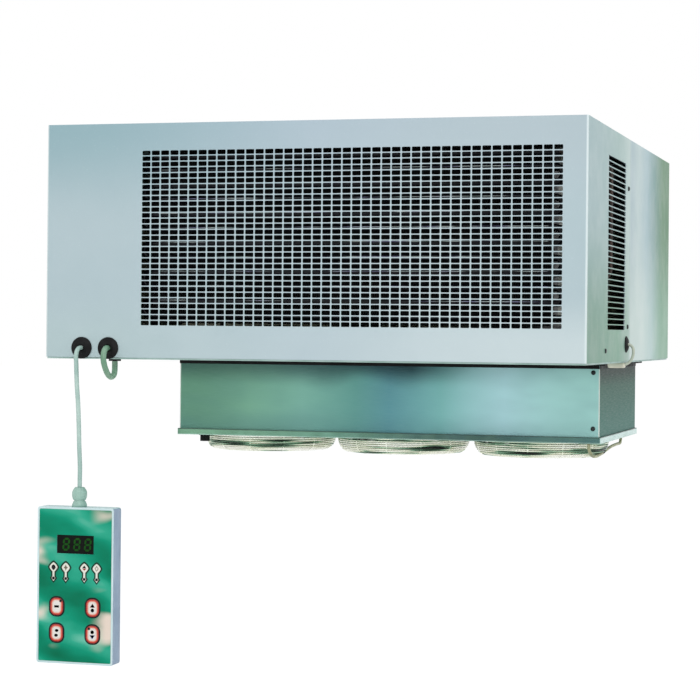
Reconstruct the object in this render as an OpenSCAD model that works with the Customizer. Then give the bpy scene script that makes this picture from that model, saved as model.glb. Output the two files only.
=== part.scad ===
// Ceiling-mounted cold room unit: a painted condensing housing over a narrower evaporator box,
// with a wired keypad hanging from its front. The origin is the centre of the evaporator box in
// plan, at the underside of the ceiling seal. +Z is up, the front faces -Y, +X is to the right.

/* [Housing] */
// Width of the condensing housing
housing_w = 810; // [790:5:900]
// Depth of the housing, front to back
housing_d = 810; // [795:5:900]
// Height from the base's underside to the top of the lid
housing_h = 345; // [340:5:420]
// Thickness of the painted cover sheets
cover_t = 1.5; // [1:0.1:2]
// Outer radius of the covers' upright bends
cover_bend_r = 3; // [2.5:0.5:6]
// Depth of the front cover's side returns
front_cover_d = 368; // [350:2:390]
// Gap at the seam between the front and the rear cover
seam_gap = 0.8; // [0.4:0.1:2]
// Width of the covers' folded top rim
top_rim_w = 18; // [14:1:30]
// Width of the rear cover's strip behind the front cover's edge
lap_w = 24; // [20:1:40]
// Height of the covers' lower edge over the base's underside
cover_lift = 2.5; // [1:0.5:4]
// Thickness of the lid sheet
lid_t = 1.5; // [1:0.1:2]

/* [Base pan] */
// Thickness of the galvanised base sheet
base_t = 2; // [1.5:0.1:3]
// Height of the base's upturned flange
base_flange_h = 32; // [28:1:45]
// Radius of the four fixing holes
fixing_hole_r = 4.5; // [3:0.5:6]
// Distance of the fixing holes from the housing's edges
fixing_inset = 22; // [18:1:26]

/* [Front grille] */
// Number of hole columns
grille_columns = 43; // [30:1:45]
// Number of hole rows, in the front and in the side slots
grille_rows = 31; // [20:1:32]
// Distance from one column to the next
column_pitch = 14.55; // [13:0.05:15]
// Distance from one row to the next
row_pitch = 8.27; // [7:0.05:8.5]
// Width of a grille hole
hole_w = 12.8; // [8:0.1:13]
// Height of a grille hole
hole_h = 6.8; // [4:0.1:7]
// Distance from the left edge of the front to the first column
grille_left = 151; // [145:0.5:155]
// Height of the lowest row over the base's underside
grille_bottom = 50; // [46:0.5:60]
// Thickness of the upright bar screen behind the rows
screen_t = 1; // [0.8:0.1:1.5]
// Rim of the bar screen round the hole field
screen_rim = 14; // [8:1:16]

/* [Side slots] */
// Length of a side slot
slot_l = 158; // [100:2:165]
// Distance from the front to the side slots
slot_front = 171; // [165:1:180]

/* [Evaporator box] */
// Width of the evaporator box
evap_w = 707; // [700:1:720]
// Depth of the evaporator box
evap_d = 368; // [360:1:374]
// Distance from the housing's front to the evaporator box
evap_setback = 407; // [400:1:415]
// Height from the ceiling seal's underside to the tray's underside
evap_drop = 123.5; // [115:0.5:160]
// Thickness of the bare metal sheets
casing_t = 1.5; // [1:0.1:2]
// Outer radius of the box's bent corners
casing_bend_r = 3; // [2:0.5:4]
// Width of the screw flanges inside the corners
casing_flange_w = 18; // [14:1:24]
// Thickness of the ceiling seal
seal_t = 6; // [4:0.5:12]
// Width of the ceiling seal's strip
seal_w = 9.5; // [6:0.5:18]
// Thickness of the foam wall of the insulated cell
foam_t = 14; // [10:1:15]
// Height of the insulated cell's top over the seal's underside
foam_top = 240; // [225:5:300]
// Height of the foam's lower edge over the tray floor
foam_lift = 18; // [16:1:30]

/* [Drip tray] */
// Thickness of the tray's floor
tray_t = 1.5; // [1:0.1:2.5]
// Height of the tray's rim
tray_rim_h = 10; // [7:0.5:14]
// Thickness of the tray's rolled rim
tray_rim_t = 3; // [2:0.5:4]
// Radius of the tray's plan corners
tray_corner_r = 5; // [4:0.5:10]
// Number of air outlet slots at the back of the tray
outlet_slots = 34; // [20:1:38]
// Distance from one outlet slot to the next
outlet_pitch = 17; // [15:0.5:17.5]
// Width of an outlet slot
outlet_slot_w = 10; // [6:0.5:11]
// Length of an outlet slot
outlet_slot_l = 48; // [30:1:50]
// Distance from the back of the box to the outlet slots
outlet_back = 18; // [16:1:22]
// Outer radius of the drain spout
drain_r = 8; // [6:0.5:10]
// Bore radius of the drain spout
drain_bore_r = 6; // [4:0.5:7]
// Length of the drain spout under the tray
drain_l = 12; // [8:1:20]

/* [Evaporator fans] */
// Distance from one fan to the next
fan_pitch = 235; // [234:1:238]
// Distance from the front of the box to the fans' centre line
fan_setback = 128; // [124:1:130]
// Radius of a fan opening
fan_hole_r = 103; // [96:1:104]
// Height of the drawn collar round a fan opening
fan_collar_h = 14; // [10:1:15]
// Wall of the drawn collar
fan_collar_t = 1.2; // [1:0.1:1.6]
// Tip radius of the evaporator rotors
rotor_tip_r = 98; // [80:1:99]
// Hub radius of the evaporator rotors
rotor_hub_r = 30; // [25:1:36]
// Hub height of the evaporator rotors
rotor_hub_h = 24; // [18:1:28]
// Radius of the evaporator fan motors
fan_motor_r = 33; // [28:1:38]
// Length of the evaporator fan motors
fan_motor_l = 50; // [40:1:60]

/* [Wire guards] */
// Radius of a guard's outer ring
guard_r = 110; // [106:0.5:112]
// Radius of the guard wire
guard_wire_r = 1.1; // [0.8:0.1:1.5]
// Depth of a guard under the tray
guard_h = 28; // [22:1:36]
// Number of rings on the guard's flat bottom
guard_flat_rings = 4; // [3:1:6]
// Number of radial wires
guard_spokes = 12; // [8:1:16]
// Radius of the guard's centre disc
guard_disc_r = 27; // [20:1:32]
// Thickness of the guard's centre disc
guard_disc_t = 1.6; // [1:0.1:2]

/* [Condenser] */
// Width of the condenser's fin block
coil_w = 598; // [560:2:600]
// Distance from the left edge of the front to the fin block
coil_left = 158; // [156:0.5:162]
// Depth of the fin block
coil_d = 44; // [40:1:48]
// Distance from the front to the fin block
coil_front = 18; // [14:1:24]
// Height of the lowest tube over the base's underside
tube_bottom = 64.5; // [62:0.5:68]
// Distance from one tube to the next
tube_pitch = 21.2; // [20:0.1:21.5]
// Number of tubes in a row, an even number
coil_tubes = 12; // [6:2:12]
// Outer radius of the coil tubes
tube_r = 4.76; // [3:0.01:5]
// Distance between the two rows of tubes
tube_row_gap = 22; // [20:0.5:24]
// Distance from the fins' front to the first row
tube_row_front = 9; // [7:0.5:11]
// Thickness of the coil end plates
end_plate_t = 1.5; // [1:0.1:2]

/* [Condenser fans] */
// Distance between the two condenser fans
cond_fan_pitch = 300; // [290:2:310]
// Radius of a shroud opening
shroud_hole_r = 118; // [110:1:120]
// Depth of the fan shroud behind the coil
shroud_d = 36; // [30:1:40]
// Depth of the rings behind the shroud
shroud_ring_d = 24; // [18:1:28]
// Thickness of the shroud sheet
shroud_t = 1.5; // [1:0.1:2]
// Tip radius of the condenser rotors
cond_tip_r = 113; // [95:1:115]
// Hub radius of the condenser rotors
cond_hub_r = 34; // [28:1:40]
// Hub height of the condenser rotors
cond_hub_h = 26; // [20:1:28]
// Radius of the condenser fan motors
cond_motor_r = 37; // [32:1:42]
// Length of the condenser fan motors
cond_motor_l = 62; // [50:1:70]
// Number of blades on every rotor
blades = 5; // [4:1:6]
// Thickness of the blades
blade_t = 1.5; // [1:0.1:2]
// Pitch of the blades at the hub, in degrees
blade_pitch = 24; // [18:1:28]
// Radius of the fan shafts
shaft_r = 4; // [3:0.5:5]
// Radial running clearance of the fan shafts
shaft_clearance = 0.05; // [0.02:0.01:0.1]

/* [Compressor] */
// Radius of the compressor shell
comp_r = 78; // [70:1:80]
// Height of the compressor shell
comp_h = 196; // [180:1:210]
// Distance from the housing's right edge to the compressor's axis
comp_side = 155; // [150:1:165]
// Distance from the front to the compressor's axis
comp_back = 300; // [296:1:304]
// Height of the rubber feet
foot_h = 14; // [10:1:18]
// Radius of the rubber feet
foot_r = 11; // [9:0.5:13]
// Radius of the liquid receiver
receiver_r = 40; // [35:1:45]
// Height of the liquid receiver
receiver_h = 170; // [150:5:190]

/* [Electrical box] */
// Width of the electrical box
ebox_w = 102; // [95:1:104]
// Depth of the electrical box
ebox_d = 130; // [110:1:135]
// Height of the electrical box
ebox_h = 280; // [250:5:290]
// Thickness of the electrical box's sheet
ebox_t = 1.2; // [1:0.1:1.5]
// Distance from the front to the electrical box's lid
ebox_front = 56; // [50:1:60]

/* [Cable grommets] */
// Distance from the left edge of the front to the keypad cord's grommet
grommet_left = 58; // [56:0.5:62]
// Distance between the two front grommets
grommet_gap = 42; // [40:0.5:44]
// Height of the front grommets over the base's underside
grommet_up = 16.2; // [15:0.1:18]
// Radius of the front grommets' flange
grommet_r = 16; // [14:0.5:17]
// Radius of the holes for the front grommets
grommet_hole_r = 11; // [9:0.5:11.5]
// Radius of the side grommet's flange
side_grommet_r = 12.5; // [11:0.5:14]
// Radius of the hole for the side grommet
side_grommet_hole_r = 9; // [7:0.5:10]
// Distance from the front to the side grommet
side_grommet_back = 341; // [339:0.5:343]
// Height of the side grommet over the base's underside
side_grommet_up = 28; // [27:0.5:30]
// How far a grommet's flange stands out
grommet_t = 4; // [3:0.5:5]

/* [Keypad] */
// Width of the keypad
keypad_w = 120; // [116:1:130]
// Height of the keypad
keypad_h = 228; // [225:1:240]
// Depth of the keypad
keypad_d = 27; // [25:1:32]
// Corner radius of the keypad's case
keypad_corner_r = 4; // [3:0.5:6]
// Wall of the keypad's case
keypad_wall = 2.2; // [1.8:0.1:2.6]
// Depth of the keypad's front shell
keypad_front_d = 8; // [7:0.5:9]
// Border of the case round the overlay
overlay_border = 3.2; // [3:0.2:6]
// Thickness of the overlay
overlay_t = 0.5; // [0.3:0.1:0.8]
// Width of the display window
window_w = 58; // [50:1:62]
// Height of the display window
window_h = 27; // [22:1:30]
// Distance from the keypad's top to the middle of the window
window_down = 54; // [50:1:58]
// Radius of the indicator lamps
lamp_r = 1.3; // [1:0.1:1.5]
// Distance from the keypad's top to the indicator lamps
lamp_down = 104; // [100:1:108]
// Width of a key
key_w = 22; // [20:0.5:24]
// Height of a key
key_h = 27; // [25:0.5:29]
// Corner radius of a key
key_corner_r = 9.5; // [8:0.5:9.9]
// Distance between the left and the right keys
key_gap_x = 56.5; // [52:0.5:60]
// Distance between the upper and the lower keys
key_gap_z = 38.5; // [36:0.5:42]
// Distance from the keypad's top to the upper keys
key_down = 145; // [142:1:148]
// Travel of a key
key_travel = 1; // [0.6:0.1:1.2]
// How far a key stands out of the overlay
key_proud = 0.8; // [0.5:0.1:1.5]
// Clearance round a key
key_clearance = 0.4; // [0.3:0.05:0.6]

/* [Cable gland] */
// Radius of the gland's body and nut, over the flats' corners
gland_r = 11; // [9:0.5:12]
// Height of the gland's hexagonal body
gland_body_h = 8.5; // [6:0.5:10]
// Height of the gland's nut
gland_nut_h = 20.5; // [16:0.5:24]

/* [Cords] */
// Diameter of the keypad cord
keypad_cord_d = 6.5; // [5:0.5:7]
// Diameter of the supply cable
supply_cord_d = 8.5; // [7:0.5:9]
// Diameter of the side lead
side_lead_d = 4.5; // [4:0.5:5]
// Diameter of the probe lead under the tray
probe_lead_d = 5; // [4:0.5:6]

/* [Screws] */
// Radius of the pan heads
screw_head_r = 3.6; // [3:0.1:4.5]
// Height of the pan heads
screw_head_h = 2.2; // [1.5:0.1:2.8]
// Radius of the screw shanks
screw_r = 1.9; // [1.5:0.1:2.4]
// Length of the screw shanks
screw_l = 9; // [7:0.5:12]
// Distance of the seam screws from the front cover's edge
seam_screw_inset = 16; // [14:0.5:18]
// Height of the lower seam screws over the base's underside
seam_screw_low = 55; // [50:1:60]
// Height of the upper seam screws over the base's underside
seam_screw_high = 268; // [260:1:275]
// Distance from the front to the lower side screws
foot_screw_back = 153; // [145:1:160]
// Height of the lowest screws over the base's underside
foot_screw_up = 19; // [17:0.5:21]
// Distance of the box screws from the box's corners
box_screw_inset = 10; // [8:0.5:12]
// Distance of the upper box screw under the ceiling seal
box_screw_top = 11.5; // [10:0.5:16]
// Distance of the lower box screw over the tray's rim
box_screw_low = 13.5; // [11:0.5:18]

/* [Hidden] */
$fn = 48;

// Overrun of every cut
cut = 2;
// Play between pieces that slide into each other
fit_gap = 0.3;

// Colours
paint = [0.72, 0.78, 0.80];
bare_metal = [0.45, 0.60, 0.60];
galvanised = [0.62, 0.65, 0.60];
black_rubber = [0.06, 0.06, 0.06];
copper = [0.72, 0.42, 0.28];
fin_metal = [0.55, 0.57, 0.58];
wire_chrome = [0.80, 0.80, 0.78];
motor_black = [0.12, 0.12, 0.13];
case_white = [0.86, 0.87, 0.93];
overlay_green = [0.10, 0.60, 0.45];
cord_white = [0.80, 0.86, 0.83];

// Levels and edges, from the ceiling seal's underside and the middle of the evaporator box
base_z = seal_t;
floor_z = base_z + base_t;
box_front_y = -evap_d / 2;
front_y = box_front_y - evap_setback;
back_y = front_y + housing_d;
cover_z = base_z + cover_lift;
lid_z = base_z + housing_h - lid_t;
cover_h = lid_z - cover_z;
left_x = -housing_w / 2;
inner_x = housing_w / 2 - cover_t;
seam_y = front_y + front_cover_d;
tray_z = -evap_drop;
tray_floor_z = tray_z + tray_t;
tray_rim_z = tray_z + tray_rim_h;

// Grille field
grille_x0 = left_x + grille_left;
grille_z0 = base_z + grille_bottom;
grille_w = (grille_columns - 1) * column_pitch + hole_w;
grille_h = (grille_rows - 1) * row_pitch + hole_h;
slot_y0 = front_y + slot_front;

// Grommets
grommet_x = left_x + grommet_left;
grommet_z = base_z + grommet_up;
side_grommet_y = front_y + side_grommet_back;
side_grommet_z = base_z + side_grommet_up;
// Depth of the recess in which a cord seats, as a share of the flange
mouth_share = 0.75;
// Radius at which a grommet's dome meets its flange's face, and height of its edge, as shares
dome_share = 0.62;
dome_edge_share = 0.35;
// Radial gap round a cord in its grommet
cord_gap = 1.5;
// Margin of the base flange's notch round a grommet
notch_margin = 3;

// Bushings in the base and in the tray, which take the cords' far ends
bushing_r = 9;
bushing_hole_r = 7;
bushing_t = 3;
supply_inset = 25;
supply_seat_y = front_y + supply_inset;
tray_bushing_r = 6;
tray_bushing_hole_r = 4.5;
tray_bushing_t = 2;
probe_in_inset = 22.5;
probe_out_inset = 10.5;
probe_in = [evap_w / 2 - probe_in_inset, -150];
probe_out = [evap_w / 2 - probe_out_inset, 94];
// Clip under the base's edge, which takes the side lead's end
clip_inset = 27;
clip_x = housing_w / 2 - clip_inset;
clip_l = 20;
clip_w = 12;
clip_h = 5.5;

// Refrigerant pipes
receiver_lift = 4;
receiver_z = floor_z + receiver_lift;
receiver_top_z = receiver_z + receiver_h;
drop_inset = 13;
drop_x = housing_w / 2 - drop_inset;
low_pipe_z = 30;
crossing_y = -400;
rise_z = 250;
drier_x0 = -200;
drier_x1 = -112;
drier_r = 19;
drier_edge = 12;
drier_z = 40;
riser_x = -240;
valve_y = -110;
valve_z = 178;
valve_l = 30;
valve_r = 14;
valve_neck_r = 6;
valve_neck_h = 24;
valve_head_r = 15;
valve_head_h = 10;
inlet_x = -318;
inlet_y = 20;
suction_x = -322;
suction_y = -230;
suction_z = 210;
suction_down_x = 100;
suction_port_z = 168;

// Distance from a coil's end plate to the start of the return bends, and length of the stubs there
turn_gap = 2;
stub_l = 5;

// Evaporator coil and its defrost heater
evap_coil_w = 540;
evap_coil_d = 60;
evap_coil_h = 285;
evap_coil_y = 48;
evap_coil_z = -98;
evap_tubes = 11;
evap_tube_pitch = 26;
evap_top_tube_z = 176;
evap_rows = [67, 89];
evap_stub_x = -evap_coil_w / 2 - end_plate_t - turn_gap - stub_l;
heater_r = 4;
heater_gap = 0.2;
heater_z = evap_coil_z;
heater_ys = [58, 98];
heater_bend_r = 16;
heater_over = 24;

// Drain spout, in front of the left fan
drain_x = -319;
drain_y = -154;
drain_flange_w = 2.5;
drain_flange_t = 2;

// Keypad place, from the grommet of its cord, lamps and gland
keypad_right = 8;
keypad_out = 33.5;
keypad_low = 232.2;
keypad_x = grommet_x + keypad_right;
keypad_y = front_y - keypad_out;
keypad_top_z = grommet_z - keypad_low;
lamp_xs = [-34, -14.6, 14.6, 34];
overlay_corner_r = 2;
key_flange = 1.2;
gland_y = 13.5;
gland_stem_r = 5;
gland_stem_l = 6;

// Routes of the cords: steps from the middle of a grommet's or a bushing's seat
keypad_cord_way = [
  [0, -1, 0], [0, -6, 0], [0, -11, -1], [0, -16, -4], [0, -19, -9], [0, -20, -14], [1, -21, -22],
  [2, -22, -37], [3, -22, -57], [5, -22, -82], [6, -21, -112], [7, -21, -142], [8, -20, -172],
  [8, -20, -192], [8, -20, -203.2]
];
supply_way = [
  [0, -1, 0], [0, -6, 0], [1, -12, -1], [2, -18, -4], [3, -23, -9], [4, -26, -16], [5, -25, -24],
  [6, -21, -32], [6, -14, -38], [6, -5, -42], [5, 4, -42], [4, 13, -39], [2, 20, -33.5],
  [0.5, 24, -27.5], [0, 25, -22.5], [0, 25, -19.5]
];
side_lead_way = [
  [1, 0, 0], [4, 0, 0], [8, 0, -1.5], [11, 0, -5], [12, 0, -10], [11.5, 0, -16], [9.5, 0, -22],
  [6, 0, -27], [1, 0, -30.2], [-4, 0, -31], [-7, 0, -31]
];
probe_way = [
  [0, 0, -2.3], [0, 0, -5], [0, 1, -9.5], [1, 5, -15.5], [2, 14, -20.5], [3, 30, -23.8],
  [4, 50, -24.5], [5, 70, -23.5], [7, 110, -19.5], [9, 160, -14.5], [11, 205, -12.6],
  [12, 230, -12.3], [12, 237, -11.3], [12, 241.5, -8], [12, 244, -4], [12, 244, -2.3]
];
keypad_cord_start = [grommet_x, front_y, grommet_z];
supply_start = [grommet_x + grommet_gap, front_y, grommet_z];
side_lead_start = [housing_w / 2, side_grommet_y, side_grommet_z];
probe_start = [probe_in[0], probe_in[1], tray_z];
function route(start, way) = [for (step = way) start + step];

// A rounded rectangle centred on x that starts at y = 0
module rounded_plan(w, d, r) {
  translate([r - w / 2, 0]) square([w - 2 * r, d]);
  translate([-w / 2, r]) square([w, d - 2 * r]);
  for (sx = [-1, 1], y = [r, d - r]) translate([sx * (w / 2 - r), y]) circle(r);
}

// A box centred on x and y that starts at z = 0
module middle_box(w, d, h) {
  translate([-w / 2, -d / 2, 0]) cube([w, d, h]);
}

// Vector helpers
function unit(v) = v / norm(v);
function clamp1(v) = max(-1, min(1, v));

// A straight round bar from p to q
module bar(p, q, r) {
  d = q - p;
  translate(p) rotate([0, acos(clamp1(d[2] / norm(d))), atan2(d[1], d[0])]) cylinder(r = r, h = norm(d));
}

// A round pipe through points, with bends of one radius
module bent_pipe(points, r, bend) {
  n = len(points);
  way = [for (i = [0:n - 2]) unit(points[i + 1] - points[i])];
  turn = [for (i = [0:n - 3]) acos(clamp1(way[i] * way[i + 1]))];
  cutback = concat([0], [for (a = turn) bend * tan(a / 2)], [0]);
  for (i = [0:n - 2]) {
    bar(points[i] + way[i] * cutback[i], points[i + 1] - way[i] * cutback[i + 1], r);
  }
  for (i = [0:n - 3]) {
    u = way[i];
    axis = unit(cross(u, way[i + 1]));
    inward = cross(axis, u);
    start = points[i + 1] - u * cutback[i + 1];
    centre = start + inward * bend;
    multmatrix([
      [-inward[0], u[0], axis[0], centre[0]],
      [-inward[1], u[1], axis[1], centre[1]],
      [-inward[2], u[2], axis[2], centre[2]],
      [0, 0, 0, 1]
    ]) rotate_extrude(angle = turn[i]) translate([bend, 0]) circle(r);
  }
}

// A soft cord swept along its route: rings square to the way, with flat ends
cord_sides = 8;
function route_way(p, i) =
  i == 0 ? unit(p[1] - p[0]) :
  i == len(p) - 1 ? unit(p[i] - p[i - 1]) :
  unit(unit(p[i + 1] - p[i]) + unit(p[i] - p[i - 1]));
function ring_points(p, i, r, side) =
  let (w = route_way(p, i), a = unit(side - w * (side * w)), b = cross(w, a))
  [for (k = [0:cord_sides - 1])
    p[i] + r * (a * cos(360 * k / cord_sides) + b * sin(360 * k / cord_sides))];
module cord(p, d, side) {
  n = len(p);
  s = cord_sides;
  points = [for (i = [0:n - 1]) each ring_points(p, i, d / 2, side)];
  walls = [for (i = [0:n - 2], k = [0:s - 1], half = [0, 1])
    let (a = i * s + k, b = i * s + (k + 1) % s)
    half == 0 ? [a, a + s, b] : [b, a + s, b + s]];
  caps = [[for (k = [0:s - 1]) k], [for (k = [s - 1:-1:0]) (n - 1) * s + k]];
  polyhedron(points = points, faces = concat(walls, caps));
}

// A round cut along local Z, through a sheet at its origin
module through(r) {
  cylinder(r = r, h = 2 * (cover_t + base_t + cut), center = true);
}

// Screw places
screw_hole_r = screw_r + fit_gap;
back_screw_share = 0.37;
lid_screw_shares = [0.08, 0.36, 0.62, 0.92];

// Puts its children at the side screws, with +Z outward
module at_side_screws() {
  places = [
    [foot_screw_back, foot_screw_up],
    [front_cover_d - seam_screw_inset, seam_screw_low],
    [front_cover_d - seam_screw_inset, seam_screw_high]
  ];
  for (side = [-1, 1], p = places) {
    translate([side * housing_w / 2, front_y + p[0], base_z + p[1]]) rotate([0, side * 90, 0]) children();
  }
}

// Puts its children at the screws along the back's lower edge
module at_back_screws() {
  for (share = [-back_screw_share, 0, back_screw_share]) {
    translate([share * housing_w, back_y, base_z + foot_screw_up]) rotate([-90, 0, 0]) children();
  }
}

// Puts its children at the lid's screws
module at_lid_screws() {
  for (side = [-1, 1], share = lid_screw_shares) {
    translate([side * (housing_w - top_rim_w) / 2, front_y + share * housing_d, lid_z + lid_t]) children();
  }
}

// A pan head screw whose head seats at z = 0
module pan_screw() {
  edge_share = 0.45;
  top_share = 0.62;
  rotate_extrude($fn = 24) polygon([
    [0, -screw_l], [screw_r, -screw_l], [screw_r, 0], [screw_head_r, 0],
    [screw_head_r, screw_head_h * edge_share], [screw_head_r * top_share, screw_head_h], [0, screw_head_h]
  ]);
}

module at_front_grommets() {
  for (i = [0, 1]) {
    translate([grommet_x + i * grommet_gap, front_y, grommet_z]) rotate([90, 0, 0]) children(i);
  }
}

module at_side_grommet() {
  translate([housing_w / 2, side_grommet_y, side_grommet_z]) rotate([0, 90, 0]) children();
}

// Upright walls and folded top rim of both covers, before they are parted
module cover_shell() {
  translate([0, front_y, cover_z]) difference() {
    linear_extrude(cover_h) rounded_plan(housing_w, housing_d, cover_bend_r);
    translate([0, cover_t, -cut]) linear_extrude(cover_h - cover_t + cut)
      rounded_plan(housing_w - 2 * cover_t, housing_d - 2 * cover_t, cover_bend_r - cover_t);
    translate([top_rim_w - housing_w / 2, top_rim_w, 0])
      cube([housing_w - 2 * top_rim_w, housing_d - 2 * top_rim_w, housing_h]);
  }
}

// Folded front cover: slot rows across the front, slot columns in both sides
module front_cover() {
  color(paint) difference() {
    intersection() {
      cover_shell();
      translate([-housing_w, front_y - cut, 0]) cube([2 * housing_w, front_cover_d + cut, 2 * housing_h]);
    }
    for (j = [0:grille_rows - 1]) {
      z = grille_z0 + j * row_pitch;
      translate([grille_x0, front_y - cut, z]) cube([grille_w, cover_t + 2 * cut, hole_h]);
      translate([-housing_w, slot_y0, z]) cube([2 * housing_w, slot_l, hole_h]);
    }
    at_front_grommets() {
      through(grommet_hole_r);
      through(grommet_hole_r);
    }
    at_side_grommet() through(side_grommet_hole_r);
    at_side_screws() through(screw_hole_r);
    at_lid_screws() through(screw_hole_r);
  }
}

// Upright bars behind the slot rows, which part each row into the grille's holes
module grille_screen() {
  color(paint) translate([0, front_y + cover_t + screen_t, 0]) rotate([90, 0, 0])
    linear_extrude(screen_t) difference() {
      translate([grille_x0 - screen_rim, grille_z0 - screen_rim])
        square([grille_w + 2 * screen_rim, grille_h + 2 * screen_rim]);
      for (i = [0:grille_columns - 1]) {
        translate([grille_x0 + i * column_pitch, grille_z0]) square([hole_w, grille_h]);
      }
    }
}

// Rear cover, with a joggled strip behind each of the front cover's edges
lap_gap = 0.2;
lap_edge_gap = 2;
joggle_w = 5;
joggle_share = 1.5;
lap_z0 = base_z + base_flange_h + lap_edge_gap;
lap_h = lid_z - cover_t - lap_edge_gap - lap_z0;
module rear_cover() {
  color(paint) difference() {
    union() {
      intersection() {
        cover_shell();
        translate([-housing_w, seam_y + seam_gap, 0]) cube([2 * housing_w, housing_d, 2 * housing_h]);
      }
      for (m = [0, 1]) mirror([m, 0, 0]) {
        translate([inner_x - lap_gap - cover_t, seam_y - lap_w, lap_z0])
          cube([cover_t, lap_w + joggle_w, lap_h]);
        translate([inner_x - lap_gap - cover_t, seam_y + seam_gap, lap_z0])
          cube([lap_gap + joggle_share * cover_t, joggle_w - seam_gap, lap_h]);
      }
    }
    at_side_screws() translate([0, 0, -cover_t]) through(screw_hole_r);
    at_side_grommet() translate([0, 0, -cover_t]) through(side_grommet_hole_r + grommet_lip + fit_gap);
    at_back_screws() through(screw_hole_r);
    at_lid_screws() through(screw_hole_r);
  }
}

module lid() {
  color(paint) difference() {
    translate([0, front_y, lid_z]) linear_extrude(lid_t)
      rounded_plan(housing_w, housing_d, cover_bend_r);
    at_lid_screws() through(screw_hole_r);
  }
}

module cover_screws() {
  color("silver") {
    at_side_screws() pan_screw();
    at_back_screws() pan_screw();
    at_lid_screws() pan_screw();
  }
}

// The insulated cell's outside, which the base pan and the box panels fit round
cell_w = evap_w - 2 * (casing_t + fit_gap);
cell_d = evap_d - 2 * (casing_t + fit_gap);
pan_inset = cover_t + fit_gap;
grommet_lip = 3;
grommet_back_t = 1.5;

// Folded base pan, notched behind the grommets
module base_pan() {
  pan_w = housing_w - 2 * pan_inset;
  pan_d = housing_d - 2 * pan_inset;
  notch_r = grommet_hole_r + grommet_lip + notch_margin;
  side_notch_r = side_grommet_hole_r + grommet_lip + notch_margin;
  color(galvanised) difference() {
    translate([0, front_y + pan_inset, base_z])
      linear_extrude(base_flange_h) rounded_plan(pan_w, pan_d, cover_bend_r - cover_t);
    translate([base_t - pan_w / 2, front_y + pan_inset + base_t, floor_z])
      cube([pan_w - 2 * base_t, pan_d - 2 * base_t, base_flange_h]);
    translate([0, 0, base_z - cut]) middle_box(cell_w + 2 * fit_gap, cell_d + 2 * fit_gap, base_t + 2 * cut);
    translate([grommet_x - notch_r, front_y, floor_z])
      cube([grommet_gap + 2 * notch_r, pan_inset + 2 * base_t, base_flange_h]);
    translate([inner_x - 2 * base_t, side_grommet_y - side_notch_r, floor_z])
      cube([3 * base_t, 2 * side_notch_r, base_flange_h]);
    for (x = [-1, 1], y = [front_y + fixing_inset, back_y - fixing_inset]) {
      translate([x * (housing_w / 2 - fixing_inset), y, floor_z]) through(fixing_hole_r);
    }
    translate([grommet_x + grommet_gap, supply_seat_y, floor_z]) through(bushing_hole_r);
    at_side_screws() translate([0, 0, -pan_inset]) through(screw_hole_r);
    at_back_screws() translate([0, 0, -pan_inset]) through(screw_hole_r);
  }
}

// Rubber grommet whose flange seats at z = 0, with a mouth for its cord
module grommet(flange_r, hole_r, cord_d) {
  mouth_r = cord_d / 2 + cord_gap;
  seat = grommet_t * (1 - mouth_share);
  rotate_extrude() polygon([
    [0, -cover_t - grommet_back_t], [hole_r + grommet_lip, -cover_t - grommet_back_t],
    [hole_r + grommet_lip, -cover_t], [hole_r - fit_gap, -cover_t], [hole_r - fit_gap, 0],
    [flange_r, 0], [flange_r, grommet_t * dome_edge_share], [flange_r * dome_share, grommet_t],
    [mouth_r, grommet_t], [mouth_r, seat], [0, seat]
  ]);
}

module cable_grommets() {
  color(black_rubber) {
    at_front_grommets() {
      grommet(grommet_r, grommet_hole_r, keypad_cord_d);
      grommet(grommet_r, grommet_hole_r, supply_cord_d);
    }
    at_side_grommet() grommet(side_grommet_r, side_grommet_hole_r, side_lead_d);
  }
}

// Closed bushing under a sheet whose underside is at z = 0
module bushing(r, hole_r, t, sheet) {
  back_r = (r + hole_r) / 2;
  rotate_extrude() polygon([
    [0, -t], [r, -t], [r, 0], [hole_r - fit_gap, 0], [hole_r - fit_gap, sheet],
    [back_r, sheet], [back_r, sheet + t / 2], [0, sheet + t / 2]
  ]);
}

// Seats of the cords' far ends: one under the base, two under the tray, and the side lead's clip
module lead_bushings() {
  color(black_rubber) {
    translate([grommet_x + grommet_gap, supply_seat_y, base_z])
      bushing(bushing_r, bushing_hole_r, bushing_t, base_t);
    for (p = [probe_in, probe_out]) {
      translate([p[0], p[1], tray_z]) bushing(tray_bushing_r, tray_bushing_hole_r, tray_bushing_t, tray_t);
    }
  }
  color(case_white) translate([clip_x, side_grommet_y - clip_w / 2, base_z - clip_h])
    cube([clip_l, clip_w, clip_h]);
}

// Condenser

coil_x0 = left_x + coil_left;
coil_x1 = coil_x0 + coil_w;
coil_y0 = front_y + coil_front;
coil_z0 = base_z + tube_bottom - tube_pitch / 2;
coil_h = coil_tubes * tube_pitch;
coil_top_tube_z = coil_z0 + coil_h - tube_pitch / 2;
coil_rows = [coil_y0 + tube_row_front, coil_y0 + tube_row_front + tube_row_gap];
tube_hole_r = tube_r + fit_gap;
foot_flange_w = 14;

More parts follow.
